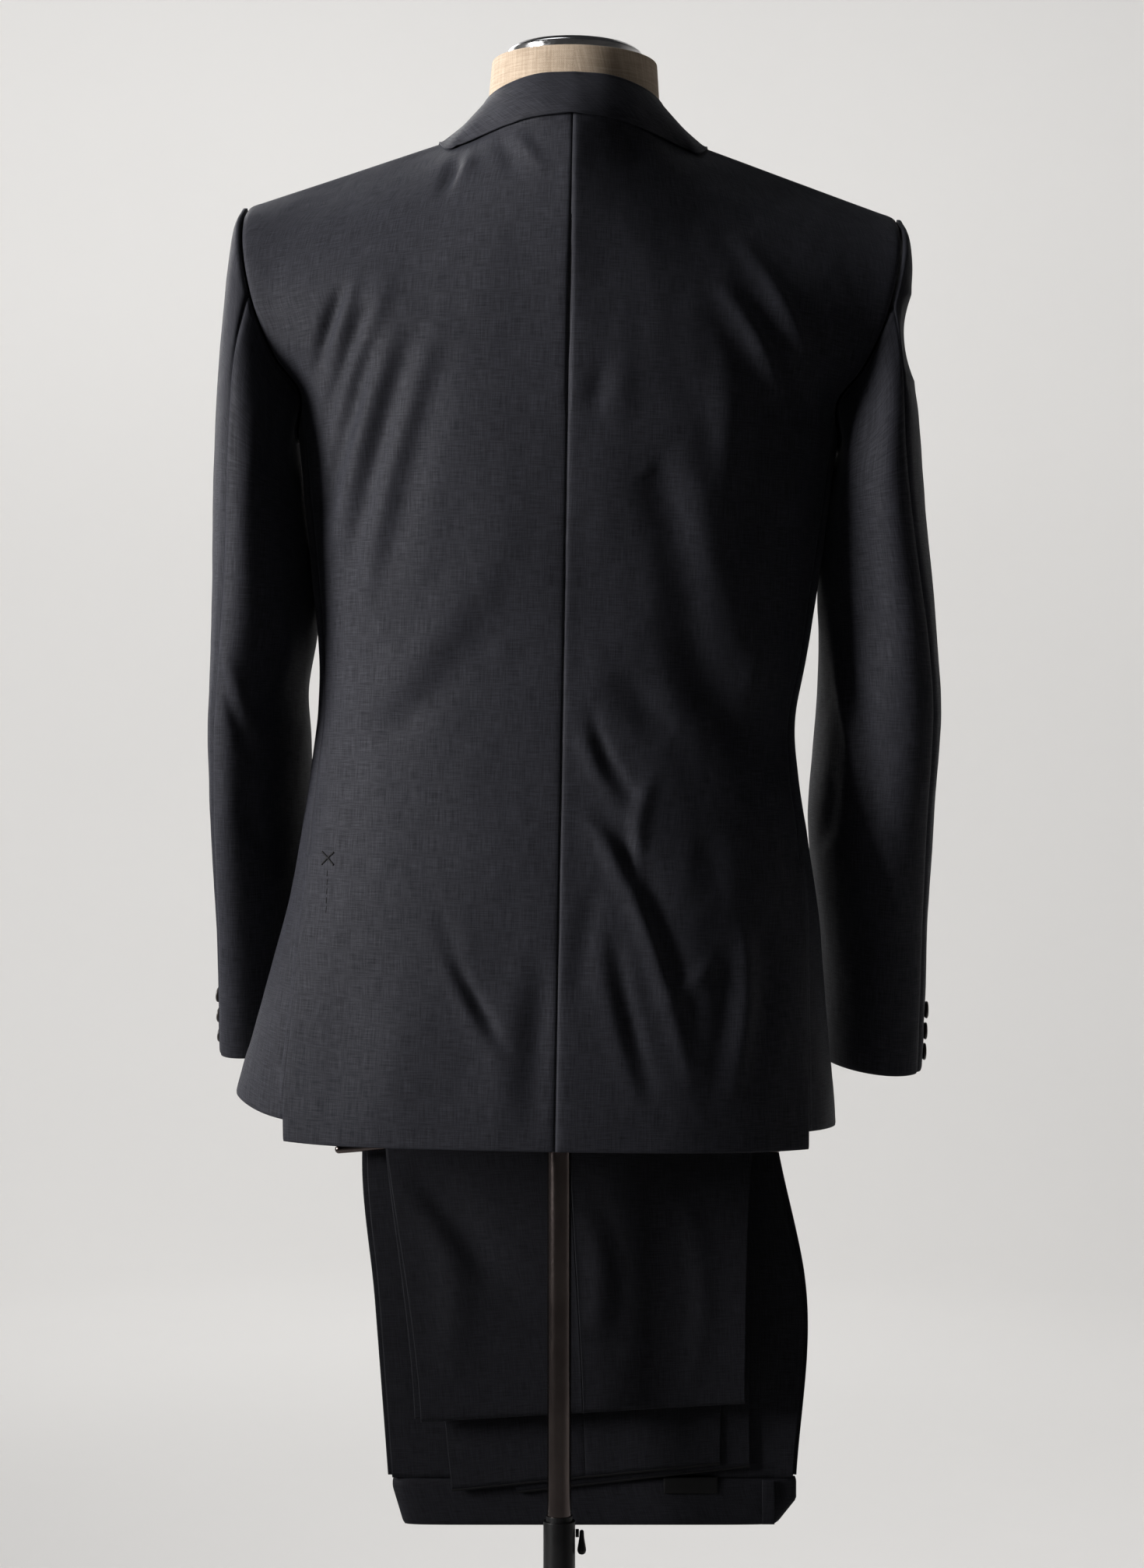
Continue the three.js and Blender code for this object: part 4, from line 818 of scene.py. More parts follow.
# the same wool with painted shade, for the trousers under the jacket
trouserWoolPaintedShade = clothMaterial("trouserWoolPaintedShade", trouserPaintedShadeLook)
linen = clothMaterial("formLinen", linenLook)
tape = clothMaterial("labelTape", tapeLook)
thread = clothMaterial("sewingThread", threadLook)
horn = hardMaterial("hornButton", hornLook)
chrome = hardMaterial("polishedCap", chromeLook)
# pole and trouser bar: polished metal with a painted brownish reflection
paintedReflectionMetal = hardMaterial("tubeWithPaintedReflection", paintedReflectionMetalLook)
black = hardMaterial("blackPowder", blackLook)
print("finishes made")


def declareCloth(piece, points):
    u, v = arcs(points)
    width, length = round(float(u[:, -1].max()) * mm, 4), round(float(v[-1, :].max()) * mm, 4)
    faces = np.cross(points[1:, 1:] - points[:-1, :-1], points[1:, :-1] - points[:-1, 1:])
    area = float(np.linalg.norm(faces, axis=2).sum()) / 2 * mm * mm
    area = min(area, 0.99 * width * length)
    print(f"{piece.name}: flat {width:.3f} x {length:.3f} m, area {area:.4f} m2")


laid = {}  # the points of every sheet that is already in place


def clothPiece(node, points, heights, outward, place, wall=1.6, material=None):
    name = node.replace(".", "_")
    points = points + outwardNormals(points, outward) * heights[..., None]
    laid[name] = points
    piece = meshFromGrid(name, points, outward, wall, place)
    finishPiece(piece, material or wool, [node])
    declareCloth(piece, points)
    return piece


# ---- jacket body ----
def upAndAway(sign):
    return lambda p: Vector((p.x * 0.3, sign * (abs(p.y) + 20), max(0.0, p.z - 1400) * 1.2))


# how uneven each kind of cloth piece is, and how far from its edges that starts
backLook = dict(seed=dict(left=3, right=8), broad=1.1, fine=0.30, atEdge=0.25, reach=9)
frontLook = dict(seed=dict(left=14, right=21), broad=0.9, fine=0.22, atEdge=0.15, reach=22)
sideLook = dict(seed=dict(left=31, right=36), broad=0.8, fine=0.22, atEdge=0.1, reach=16)
sleeveLook = dict(seed=dict(left=51, right=66), broad=1.0, fine=0.26, atEdge=0.2, reach=8)
collarLook = dict(seed=44, broad=0.7, fine=0.16, atEdge=0, reach=9)
flapLook = dict(seed=71, broad=0.5, fine=0.12, atEdge=0, reach=8)
bandLook = dict(seed=81, broad=0.5, fine=0.15, atEdge=0, reach=10)


def ventStyle(points, above, below):
    return [below if z < jacket["ventTop"] else above for z in points[:, 0, 2]]


def fadeAtEdges(points, reach):
    u, v = arcs(points)
    gap = np.minimum(np.minimum(u, u[:, -1:] - u), np.minimum(v, v[-1:, :] - v))
    return np.clip(gap / reach, 0, 1)


def reliefOf(points, look, seed, creases=0.0):
    relief = creases + unevenness(points, seed, look["broad"], look["fine"])
    return relief * (look["atEdge"] + (1 - look["atEdge"]) * fadeAtEdges(points, look["reach"]))


def makeBodyPanel(part, side, points, look, creases, styles, outward):
    relief = reliefOf(points, look, look["seed"][side], creases) + edgeHeights(points, styles)
    return clothPiece(f"jacket.{part}_{side}", points, relief, outward, lean)


def makeBack(side):
    points = backGrid(side, detail["backStep"])
    makeBodyPanel("back", side, points, backLook, creased(points, backCreases[side]),
                  ["seam", ventStyle(points, "seam", "over"), "hem", "seam"], upAndAway(1))


def makeFront(side):
    points = frontGrid(side, detail["frontStep"])
    makeBodyPanel("front", side, points, frontLook, creased(points, frontCreases[side]),
                  ["none", "seam", "hem", "seam"], upAndAway(-1))


underlap = dict(width=40, depth=4.6, tall=215, columns=14, past=6)


def makeSide(side):
    points = sideGrid(side, detail["sideStep"])
    piece = makeBodyPanel("side", side, points, sideLook, 0.0,
                          [ventStyle(points, "seam", "under"), "seam", "hem", "seam"], awayFromAxis)
    # the vent's underlap, cut in one with the panel

    def lapPoint(shift, level):
        z = ventDrop(side, "side", 1, level)
        seam = backSeamAngle(side, z)
        perDegree = math.hypot(*(bodyPoint(side, seam - 1, z) - bodyPoint(side, seam, z)))
        depth = underlap["depth"] * clamp01((4.0 - shift) / 7.0)
        return onBody(side, seam + shift / perDegree, z, depth) + np.array([0, 0, 1])

    shifts = np.linspace(-underlap["width"], underlap["past"], underlap["columns"])
    levels = np.linspace(jacket["hem"], jacket["ventTop"], round(underlap["tall"] / detail["sideStep"]))
    flap = meshFromGrid(f"underlap_{side}", gridOf(lapPoint, shifts, levels), awayFromAxis, 0, lean)
    both = bmesh.new()
    both.from_mesh(piece.data)
    both.from_mesh(flap.data)
    both.to_mesh(piece.data)
    both.free()
    bpy.data.objects.remove(flap)


for side in sides:
    makeBack(side)
    makeFront(side)
    makeSide(side)
print("jacket body made")


# ---- depth of the fronts, for what lies on them ----
def treeOf(points):
    faces = bmesh.new()
    rows, cols = points.shape[0] - 1, points.shape[1] - 1
    bmesh.ops.create_grid(faces, x_segments=cols, y_segments=rows, size=1.0)
    for vert in faces.verts:
        vert.co = Vector(points[round((vert.co.y + 1) / 2 * rows), round((vert.co.x + 1) / 2 * cols)])
    tree = BVHTree.FromBMesh(faces)
    faces.free()
    return tree


bodyTrees = {(part, side): treeOf(laid[f"jacket_{part}_{side}"]) for part in ("back", "front")
             for side in sides}


def spotOn(part, side, x, z, sign):
    # the place on a panel, straight in from behind (1) or from in front (-1)
    return bodyTrees[part, side].ray_cast(Vector((x, 500 * sign, z)), Vector((0, -sign, 0)))[0]


def frontDepth(side, x, z):
    spot = spotOn("front", side, sides[side] * x, z, -1)
    return None if spot is None else spot.y


lapelLook = dict(starts=dict(left=1092, right=1174), tableTop=1318, notch=0.86, width=80, topReach=2.7,
                 lie=3.0, swell=2.4, straight=0.64, spread=5, tip=1430, fall=14, rise=1.6, long=430)


def lapelPoint(side, t, s):
    look = lapelLook
    start = look["starts"][side]
    z0 = mix(start, look["tableTop"], clamp01(t / look["straight"]))
    risen = (z0 - front["breakAt"]) / (jacket["frontArmhole"] - front["breakAt"])
    inner = np.array([mix(-front["overlap"], rollLine[0]["x"], risen), rollLine[0]["y"], z0])
    if t >= look["straight"]:
        inner = along(rollLine, clamp01((t - look["straight"]) / (1 - look["straight"])) * look["topReach"])
    rounding = math.sin(math.pi / 2 * clamp01((inner[2] - start + 4) / (look["tip"] - start)))
    spread = look["spread"] + look["width"] * rounding ** 0.9 * (1 - max(0.0, t - look["notch"]))
    x = inner[0] + 0.8 + spread * s
    z = inner[2] - look["fall"] * s * smooth(t)
    y = frontDepth(side, x, z)
    y = inner[1] if y is None else y
    swell = look["swell"] * math.sin(math.pi * min(1, 0.15 + 0.8 * s)) + look["rise"] * smooth(t)
    return np.array([sides[side] * x, y - look["lie"] - swell, z])


def makeLapel(side):
    points = gridOf(lambda s, t: lapelPoint(side, t, s), stops(lapelLook["width"], detail["smallStep"]),
                    stops(lapelLook["long"], detail["sideStep"]))
    points = ease(points, 0, len(points) - 1, 8)
    clothPiece(f"jacket.lapel_{side}", points, np.zeros(points.shape[:2]), lambda p: Vector((0, -1, 0.2)),
               lean)


for side in sides:
    makeLapel(side)

# ---- collar ----
collarFold = rowsOf(
    "x y z",
    (0, 79, 1567), (28, 74, 1566), (52.5, 57, 1561.5), (68, 31, 1556), (73.5, -2, 1549),
    (76, -35, 1534), (73.5, -67, 1508), (69, -92, 1474))
collarEdge = rowsOf(
    "x y z",
    (0, 99.5, 1532.4), (33, 95, 1529), (65, 79, 1523.5), (88, 52, 1519), (101, 24, 1521),
    (107, -8, 1525), (113, -40, 1517), (119, -72, 1487), (128, -98, 1447))
collarShape = dict(swell=1.3, fullness=2.6, roll=2.1, rollSteps=5, rollDegrees=24, standFoot=0.93,
                   standFold=0.82, lie=2.1, long=520, tall=48, standLong=430, standTall=34)


def collarLine(rows, t):
    p = along(rows, abs(t) * (len(rows) - 1))
    p[0] *= -1 if t < 0 else 1
    return p


def outFrom(p):
    away = np.array([p[0], p[1], 0.0])
    return away / np.linalg.norm(away)


def nearestOf(hits):
    hits = [hit for hit in hits if hit[0] is not None]
    return min(hits, key=lambda hit: hit[3])[0] if hits else None


def keptClear(points, lie, rows):
    # lifts the first rows of a sheet off the cloth below them wherever they come too near
    out = points.copy()
    for j, i in np.ndindex(rows, points.shape[1]):
        p = Vector(points[j, i])
        below = nearestOf(tree.find_nearest(p, 12) for tree in bodyTrees.values())
        if below is not None:
            out[j, i, 2] += max(0.0, lie * 0.9 - (p - below).z)
    return out


def ontoCloth(p, lie):
    # the cloth below a place: straight in from behind at the back, then from above, then from in front
    turn = math.radians(float(np.interp(p[1], (-100, -20, 0, 50), (140, 100, 88, 0))))
    inward = Vector((0, -math.cos(turn), -math.sin(turn)))
    spot = nearestOf(tree.ray_cast(Vector(p) - inward * 60, inward) for tree in bodyTrees.values())
    return p if spot is None else np.array(spot - inward * lie)


def makeCollar():
    look = collarShape
    ways = [mix(-1, 1, t) for t in stops(look["long"], detail["smallStep"] + 0.6)]
    edges = [ontoCloth(collarLine(collarEdge, t), look["lie"]) for t in ways]
    rows = []
    for v in stops(look["tall"], detail["smallStep"], (0.0, 0.9, 2.0)):
        row = []
        for t, edge in zip(ways, edges):
            fold = collarLine(collarFold, t)
            swell = look["swell"] * math.sin(math.pi * v)
            full = look["fullness"] * math.sin(math.pi * v ** 0.62) * (1 - smooth((abs(t) - 0.3) / 0.3))
            row.append(mix(edge, fold, v) + outFrom(fold) * (swell + full))
        rows.append(row)
    leaf = keptClear(np.array(rows), look["lie"], len(rows) // 4)
    rows = list(ease(leaf, 0, len(leaf) - 1, 6))
    # the top rolls over towards the stand
    last = rows[-1]
    for k in range(1, look["rollSteps"] + 1):
        turn = math.radians(look["rollDegrees"] * k)
        lift = np.array([0, 0, look["roll"] * math.sin(turn)])
        rows.append([p + outFrom(p) * look["roll"] * (math.cos(turn) - 1) + lift for p in last])
    points = np.array(rows)
    clothPiece("jacket.collar", points, reliefOf(points, collarLook, collarLook["seed"]),
               lambda p: Vector((p.x, p.y, 60)), lean)


def makeCollarStand():
    look = collarShape
    seam = neckSeam + rollLine[3:5][::-1]
    ways = [mix(-1, 1, t) for t in stops(look["standLong"], detail["sideStep"])]

    def standPoint(t, v):
        foot = collarLine(seam, t * look["standFoot"]) + np.array([0, 0, 0.8])
        fold = collarLine(collarFold, t * look["standFold"])
        return mix(foot, fold - np.array([0, 0, 3.0]), v) - outFrom(fold) * 1.6 * v

    points = gridOf(standPoint, ways, stops(look["standTall"], detail["sideStep"], (0.0, 1.5)))
    clothPiece("jacket.collar_stand", points, np.zeros(points.shape[:2]), awayFromAxis, lean,
               wall=1.4)


makeCollar()
makeCollarStand()
print("lapels and collar made")


# ---- sleeves ----
def makeSleeve(side, name, start, end, width):
    points = sleeveGrid(side, start, end, width, detail["sleeveStep"])
    outwardY = outwardNormals(points, lambda p: p - Vector((sides[side] * 243, -20, p.z)))[..., 1]
    creases = creased(points, sleeveCreases[side], outwardY)
    relief = (reliefOf(points, sleeveLook, sleeveLook["seed"][side], creases)
              + edgeHeights(points, ["deepSeam", "deepSeam", "deepSeam", "hem"]))
    axis = sleeveSections[side]

    def fromSleeveAxis(p):
        z = min(axis[0]["z"], max(axis[-1]["z"], p.z))
        return Vector((p.x - sides[side] * read(axis, z, "x"), p.y - read(axis, z, "y"), 0))

    clothPiece(f"jacket.{name}_{side}", points, relief, fromSleeveAxis, lean)


for side in sides:
    makeSleeve(side, "top_sleeve", lambda d: sleeve["fore"] - 1, hindSeam, sleeve["topWidth"])
    makeSleeve(side, "under_sleeve", hindSeam, lambda d: sleeve["fore"], sleeve["underWidth"])
print("sleeves made")

# ---- pocket flaps and the breast welt ----
flapShape = dict(angles=(118, 162), top=1004, drop=51, tilt=9, stand=2.35, corner=7, cornerShare=0.14,
                 tall=52, wide=150)
weltShape = dict(inner=118, outer=178, bottom=1272, tall=22, tilt=7, stand=3.5, wide=60)


def makeFlap(side):
    look = flapShape

    def flapPoint(u, r):
        cornerShare = clamp01(1 - min(u, 1 - u) / look["cornerShare"])
        corner = look["corner"] * smooth(clamp01(3 * r - 2)) * cornerShare ** 2
        z = look["top"] - look["drop"] * r - look["tilt"] * (1 - u) + corner
        return bodyPoint(side, mix(*look["angles"], u), z, -look["stand"])

    points = gridOf(flapPoint, stops(look["wide"], detail["sideStep"]),
                    stops(look["tall"], detail["smallStep"])[::-1])
    clothPiece(f"jacket.flap_{side}", points, reliefOf(points, flapLook, flapLook["seed"]), awayFromAxis,
               lean)


def makeWelt():
    look = weltShape

    def weltPoint(u, r):
        x, z = mix(look["inner"], look["outer"], u), look["bottom"] + look["tall"] * r + look["tilt"] * u
        return np.array([x + 1, frontDepth("left", x, z) - look["stand"], z])

    points = gridOf(weltPoint, *(stops(look[key], detail["smallStep"]) for key in ("wide", "tall")))
    clothPiece("jacket.breast_welt", points, np.zeros(points.shape[:2]), lambda p: Vector((0.5, -1, 0)),
               lean)


for side in sides:
    makeFlap(side)
makeWelt()
print("pockets made")

# ---- turned and solid parts ----
def pieceFromBmesh(name, bm, material, nodes=(), body="mast", smoothAngle=40):
    bmesh.ops.remove_doubles(bm, verts=bm.verts[:], dist=1e-6)
    bmesh.ops.recalc_face_normals(bm, faces=bm.faces[:])
    limit = math.radians(smoothAngle)
    for face in bm.faces:
        face.smooth = True
    for edge in bm.edges:
        edge.smooth = len(edge.link_faces) == 2 and edge.calc_face_angle() < limit
    finishPiece(objectFrom(name, bm), material, nodes, body)


def spinProfile(profile, steps=96, place=upright):
    # turns a profile of (radius, height) in millimetres about the upright axis
    bm = bmesh.new()
    verts = [bm.verts.new((r * mm, 0, z * mm)) for r, z in profile]
    edges = [bm.edges.new(pair) for pair in zip(verts, verts[1:])]
    bmesh.ops.spin(bm, geom=verts + edges, cent=(0, 0, 0), axis=(0, 0, 1), angle=2 * math.pi,
                   steps=steps, use_merge=True)
    bmesh.ops.remove_doubles(bm, verts=bm.verts[:], dist=1e-6)
    bmesh.ops.transform(bm, matrix=place, verts=bm.verts[:])
    return bm


def roundedProfile(corners, radius, segments=4):
    # the same outline with its inner corners rounded, for a closed turned wall
    out = [corners[0]]
    for corner in zip(corners, corners[1:], corners[2:]):
        before, here, after = (np.array(p, float) for p in corner)
        reach = min(radius, 0.45 * np.linalg.norm(before - here), 0.45 * np.linalg.norm(after - here))
        a = here + (before - here) / np.linalg.norm(before - here) * reach
        b = here + (after - here) / np.linalg.norm(after - here) * reach
        for s in range(segments + 1):
            t = s / segments
            out.append(tuple((1 - t) ** 2 * a + 2 * t * (1 - t) * here + t * t * b))
    return out + [corners[-1]]


def move(x, y, z):
    return Matrix.Translation((x * mm, y * mm, z * mm))


# ---- buttons ----
# a button's outline in shares of its radius and thickness, and its four holes' distance from the middle
buttonOutline = [(0, 0), (0.82, 0), (0.97, 0.35), (1, 0.6), (0.97, 0.86), (0.88, 1), (0.76, 0.93),
                 (0.66, 0.74), (0, 0.72)]
buttonLook = dict(spread=0.19, bar=0.42, barLength=2.9, plugs=(0.096, 0.084), plugDepth=0.3)


def makeButton(name, spot, outward, radius, thick, lift):
    spot, outward = lean @ Vector(spot * mm), (lean.to_3x3() @ Vector(outward)).normalized()
    place = (Matrix.Translation(spot + outward * lift * mm)
             @ outward.to_track_quat("Z", "Y").to_matrix().to_4x4())
    outline = roundedProfile([(radius * r, thick * z) for r, z in buttonOutline], 0.35, 2)
    pieceFromBmesh(name.replace(".", "_"), spinProfile(outline, 40, place), horn, [name])
    # two stitched bars over four holes
    look = buttonLook
    spread = look["spread"] * radius
    stitches = bmesh.new()

    def addPeg(bottom, top, depth, segments, shift):
        peg = bmesh.ops.create_cone(stitches, cap_ends=True, segments=segments, radius1=bottom * mm,
                                    radius2=top * mm, depth=depth * mm)
        bmesh.ops.transform(stitches, matrix=place @ shift, verts=peg["verts"])

    for sign in (-1, 1):
        addPeg(look["bar"], look["bar"], look["barLength"] * spread, 10,
               move(sign * spread, 0, thick * 0.76) @ Matrix.Rotation(math.pi / 2, 4, "X"))
        for end in (-1, 1):
            addPeg(*(share * radius for share in look["plugs"]), look["plugDepth"], 14,
                   move(sign * spread, end * spread * 1.25, thick * 0.74))
    pieceFromBmesh(name.replace(".", "_") + "_thread", stitches, thread)


frontButtons = dict(heights=(1075, 975), radius=10, thick=3.6, lift=1.1)
cuffButtons = dict(first=8.75, apart=17 / 48, fromSeam=0.075, radius=7, thick=2.8, lift=0.45)
look = frontButtons
for k, z in enumerate(look["heights"]):
    makeButton(f"jacket.front_button_{k + 1}", np.array([0, frontDepth("left", 0, z), z]), (0, -1, 0),
               look["radius"], look["thick"], look["lift"])
look = cuffButtons
for side in sides:
    for k in range(3):
        row = sleeve["capRows"] + look["first"] - k * look["apart"]
        share = hindSeam(1) - look["fromSeam"]
        spot = sleevePoint(side, share, row)
        sideways = sleevePoint(side, share + 0.03, row) - sleevePoint(side, share - 0.03, row)
        down = sleevePoint(side, share, row + 0.5) - sleevePoint(side, share, row - 0.5)
        outward = np.cross(down, sideways) * sides[side]
        makeButton(f"jacket.cuff_button_{side}_{k + 1}", spot, outward / np.linalg.norm(outward),
                   look["radius"], look["thick"], look["lift"])
print("buttons made")

# ---- dress form ----
formSections = rowsOf(
    "z half back front",
    (796, 152, 86, 93), (804, 160, 94, 100), (850, 166, 100, 103), (910, 168, 97, 103), (970, 163, 90, 99),
    (1030, 155, 83, 95), (1080, 150, 79, 93), (1130, 153, 82, 97), (1190, 163, 91, 105),
    (1250, 174, 99, 112), (1320, 188, 105, 113), (1370, 200, 102, 104), (1410, 206, 92, 88),
    (1440, 204, 78, 68), (1462, 194, 62, 47), (1480, 172, 52, 34), (1494, 142, 50, 32), (1507, 112, 54, 40),
    (1520, 80, 60, 46), (1536, 68.5, 65, 56), (1560, 67, 65, 62), (1593, 64.5, 64, 64))
formShape = dict(segments=112, rowStep=7.0, shoulders=1440, neck=1500, squareness=2.3, rim=1.2)


def signedPower(value, exponent):
    return math.copysign(abs(value) ** exponent, value)


def formPoint(turn, z):
    # squarish below the shoulders and round in the neck
    look = formShape
    share = clamp01((z - look["shoulders"]) / (look["neck"] - look["shoulders"]))
    bend = 2 / mix(look["squareness"], 2, share)
    depth = read(formSections, z, "back" if math.cos(turn) > 0 else "front")
    return np.array([read(formSections, z, "half") * signedPower(math.sin(turn), bend),
                     depth * signedPower(math.cos(turn), bend), z])


def makeForm():
    low, high = formSections[0]["z"], formSections[-1]["z"]
    count, segments = round((high - low) / formShape["rowStep"]), formShape["segments"]
    points = gridOf(formPoint, [mix(0, 2 * math.pi, k / segments) for k in range(segments + 1)],
                    [mix(low, high, j / count) for j in range(count + 1)])
    piece = meshFromGrid("form_torso", points, awayFromAxis, 0, lean)
    bm = bmesh.new()
    bm.from_mesh(piece.data)
    bmesh.ops.remove_doubles(bm, verts=bm.verts[:], dist=1e-6)
    bmesh.ops.holes_fill(bm, edges=[e for e in bm.edges if e.is_boundary], sides=0)
    bmesh.ops.recalc_face_normals(bm, faces=bm.faces[:])
    rim = [e for e in bm.edges if e.calc_face_angle(0) > 0.6]
    bmesh.ops.bevel(bm, geom=rim, offset=formShape["rim"] * mm, segments=3, affect="EDGES", profile=0.5,
                    material=-1)
    for face in bm.faces:
        face.smooth = len(face.verts) <= 4
    bm.to_mesh(piece.data)
    bm.free()
    finishPiece(piece, linen, ["form.torso"])


makeForm()
capProfile = roundedProfile([(0, 1593.4), (53, 1593.4), (53, 1600.5), (48, 1604), (0, 1604.4)], 1.2)
pieceFromBmesh("form_neck_cap", spinProfile(capProfile, 128, lean), chrome, ["form.neck_cap"])
flangeProfile = roundedProfile([(0, 790.4), (38, 790.4), (38, 795.4), (0, 795.4)], 1.2)
pieceFromBmesh("form_flange", spinProfile(flangeProfile, 96, lean), black, ["form.flange"])
print("form made")

# ---- trousers, folded over the bar ----
bar = dict(y=-42, radius=3.5, endHeight=740, rise=16, bend=70, reach=179, end=175.5)
leg = dict(thick=2, pitch=2.7, kneeFold=531, kneeSlope=15 / 260, gap=0.5, aboveKnee=7, halfWidth=135,
           runs=dict(far=270, near=220, last=285))
waistband = dict(top=474.3, bottom=437, near=-52.4, far=-67, wall=2.4, tall=37, left=(125, 134),
                 right=(-174, -190))
legHems = dict(outer=dict(left=466, right=490), inner=dict(left=458, right=485))
legEdges = dict(
    outer=rowsOf("at left right", (0, 86, -128), (1, 112, -134), (2, 110, -148), (3, 110, -147),
                 (4, 137, -153), (5, 158, -175), (6, 148, -199), (7, 138, -190.5)),
    inner=rowsOf("at left right", (0, 34, -152), (1, 116, -150), (2, 117, -150), (3, 115, -146),
                 (4, 138, -150), (5, 154, -170), (6, 144, -195), (7, 134, -187)))
legHalves = dict(front=(0, 0.5), back=(0.5, 1))
trouserCreases = dict(
    near=[
        (126, 738, 92, 692, 54, 640, -4.0, 12, 24), (104, 690, 84, 640, 86, 570, 2.2, 16, 18),
        (-14, 690, -34, 645, -22, 590, 1.7, 12, 15), (-20, 720, -48, 650, -40, 560, -1.6, 12, 12),
        (-90, 715, -112, 640, -104, 556, 1.8, 10, 11), (40, 610, -20, 585, -90, 596, -1.3, 10, 10),
    ],
    far=[
        (110, 690, 96, 600, 104, 520, 1.8, 14, 16), (20, 700, 6, 610, 12, 530, -1.8, 16, 16),
        (-90, 690, -116, 600, -108, 520, 2.0, 14, 15), (-40, 660, -52, 600, -48, 540, 1.2, 14, 12),
    ])


def barHeight(x):
    return bar["endHeight"] + bar["rise"] * (1 - math.hypot(x, bar["bend"]) / bar["reach"])


def legRows(inner, outer, far, step):
    # rows of one folded leg, from its hem up the far side, over the bar, down to the knee fold, up
    # again, over the bar and down to the waistband
    top, knee, y = barHeight(0), leg["kneeFold"] + leg["aboveKnee"], bar["y"]
    straight, near, last = (round(leg["runs"][key] / step) for key in ("far", "near", "last"))
    rows = [(y - inner, mix(0, top, k / straight), k / straight) for k in range(straight)]
    for k in range(9):
        turn = math.pi * (1 - k / 8)
        rows.append((y + inner * math.cos(turn), top + inner * math.sin(turn), 1 + k / 8))
    rows += [(y + inner, mix(top, knee, k / near), 2 + k / near) for k in range(1, near)]
    bend = (outer - inner) / 2
    foldCentre = leg["kneeFold"] + leg["thick"] / 2 + 1.5 * leg["pitch"]
    for k in range(9):
        turn = math.pi * (1 + k / 8)
        rows.append((y + inner + bend * (1 + math.cos(turn)), foldCentre + bend * math.sin(turn), 3))
    rows += [(y + outer, mix(knee, top, k / near), 3 + k / near) for k in range(1, near)]
    for k in range(13):
        turn = math.pi * k / 12
        rows.append((y + outer * math.cos(turn), top + outer * math.sin(turn), 4 + k / 12))
    for t in [k / last for k in range(1, last + 1)]:
        rows.append((mix(y - outer, far, smooth(t)), mix(top, waistband["top"] + leg["gap"], t), 5 + 2 * t))
    return rows


def legGrid(name, part, step):
    first = bar["radius"] + leg["gap"] + leg["thick"] / 2
    isOuter = name == "outer"
    inner = first if isOuter else first + leg["pitch"]
    outer = first + (3 if isOuter else 2) * leg["pitch"]
    far = waistband["far"] + waistband["wall"] if isOuter else waistband["near"] - waistband["wall"]
    top, across = barHeight(0), stops(leg["halfWidth"], step)
    points = []
    for y, z, at in legRows(inner, outer, far, step):
        sideEdges = [read(legEdges[name], at, key, "at") for key in ("left", "right")]
        row = []
        for s in across:
            x = mix(*sideEdges, mix(*legHalves[part], s))
            hem = mix(legHems[name]["right"], legHems[name]["left"], (x + 150) / 240)
            height = mix(hem, top, at) if at < 1 else z
            atBar = clamp01(1 - (top - height) / 110)
            atKnee = clamp01((top - height) / (top - leg["kneeFold"])) if 2 <= at <= 4 else 0
            sag = (barHeight(x) - top) * atBar - (x + 20) * leg["kneeSlope"] * atKnee
            row.append([x, y, height + sag])
        points.append(row)
    return np.array(points)


def layerShift(points):
    # every layer on one side of the bar takes the same creases, so that they stay apart
    near, z = points[..., 1] > bar["y"], points[..., 2]
    shift = np.where(near, creased(points, trouserCreases["near"]), -creased(points, trouserCreases["far"]))
    calm = np.clip((barHeight(0) - 14 - z) / 40, 0, 1)
    return shift * calm * np.where(near, np.clip((z - 540) / 14, 0, 1), np.clip((z - 490) / 40, 0, 1))


def makeLeg(name, part):
    points = legGrid(name, part, detail["legStep"])
    normals = gridNormals(points)
    styles = ["seam" if part == "back" else "none", "seam" if part == "front" else "none", "none", "none"]
    inward = -np.sign(normals[..., 1] * (points[..., 1] - bar["y"]))
    points = points + normals * (edgeHeights(points, styles) * inward)[..., None] * 0.4
    points[..., 1] += layerShift(points)
    node = f"trousers.{name}_leg_{part}"
    piece = meshFromGrid(node.replace(".", "_"), points, lambda p: Vector((0, p.y - bar["y"], 0)), 0, upright)
    addWall(piece, leg["thick"], 0.0)
    finishPiece(piece, trouserWoolPaintedShade, [node])
    declareCloth(piece, points)


for name in legHems:
    for part in legHalves:
        makeLeg(name, part)


def waistbandPoint(sign, turn, share):
    z = mix(waistband["bottom"], waistband["top"], share)
    left = mix(*waistband["left"], clamp01(share * 3 / 2.4))
    right = mix(*waistband["right"], clamp01(share * 3 / 1.6))
    x = mix(left, right, 0.5) + (left - right) / 2 * signedPower(math.cos(turn), 0.22)
    middle = (waistband["near"] + waistband["far"]) / 2
    deep = (waistband["near"] - waistband["far"]) / 2
    return np.array([x, middle + sign * deep * max(0.0, math.sin(turn)) ** 0.6, z])


def evenTurns(step):
    # turns of the flattened ring that are evenly far apart along it
    fine = [math.pi * k / 900 for k in range(901)]
    spots = np.array([waistbandPoint(1, turn, 0.5) for turn in fine])
    run = np.concatenate([[0], np.cumsum(np.linalg.norm(np.diff(spots, axis=0), axis=1))])
    wanted = [run[-1] * s for s in stops(run[-1], step, (0.0, 0.8, 1.8, 3.0))]
    return list(np.interp(wanted, run, fine))


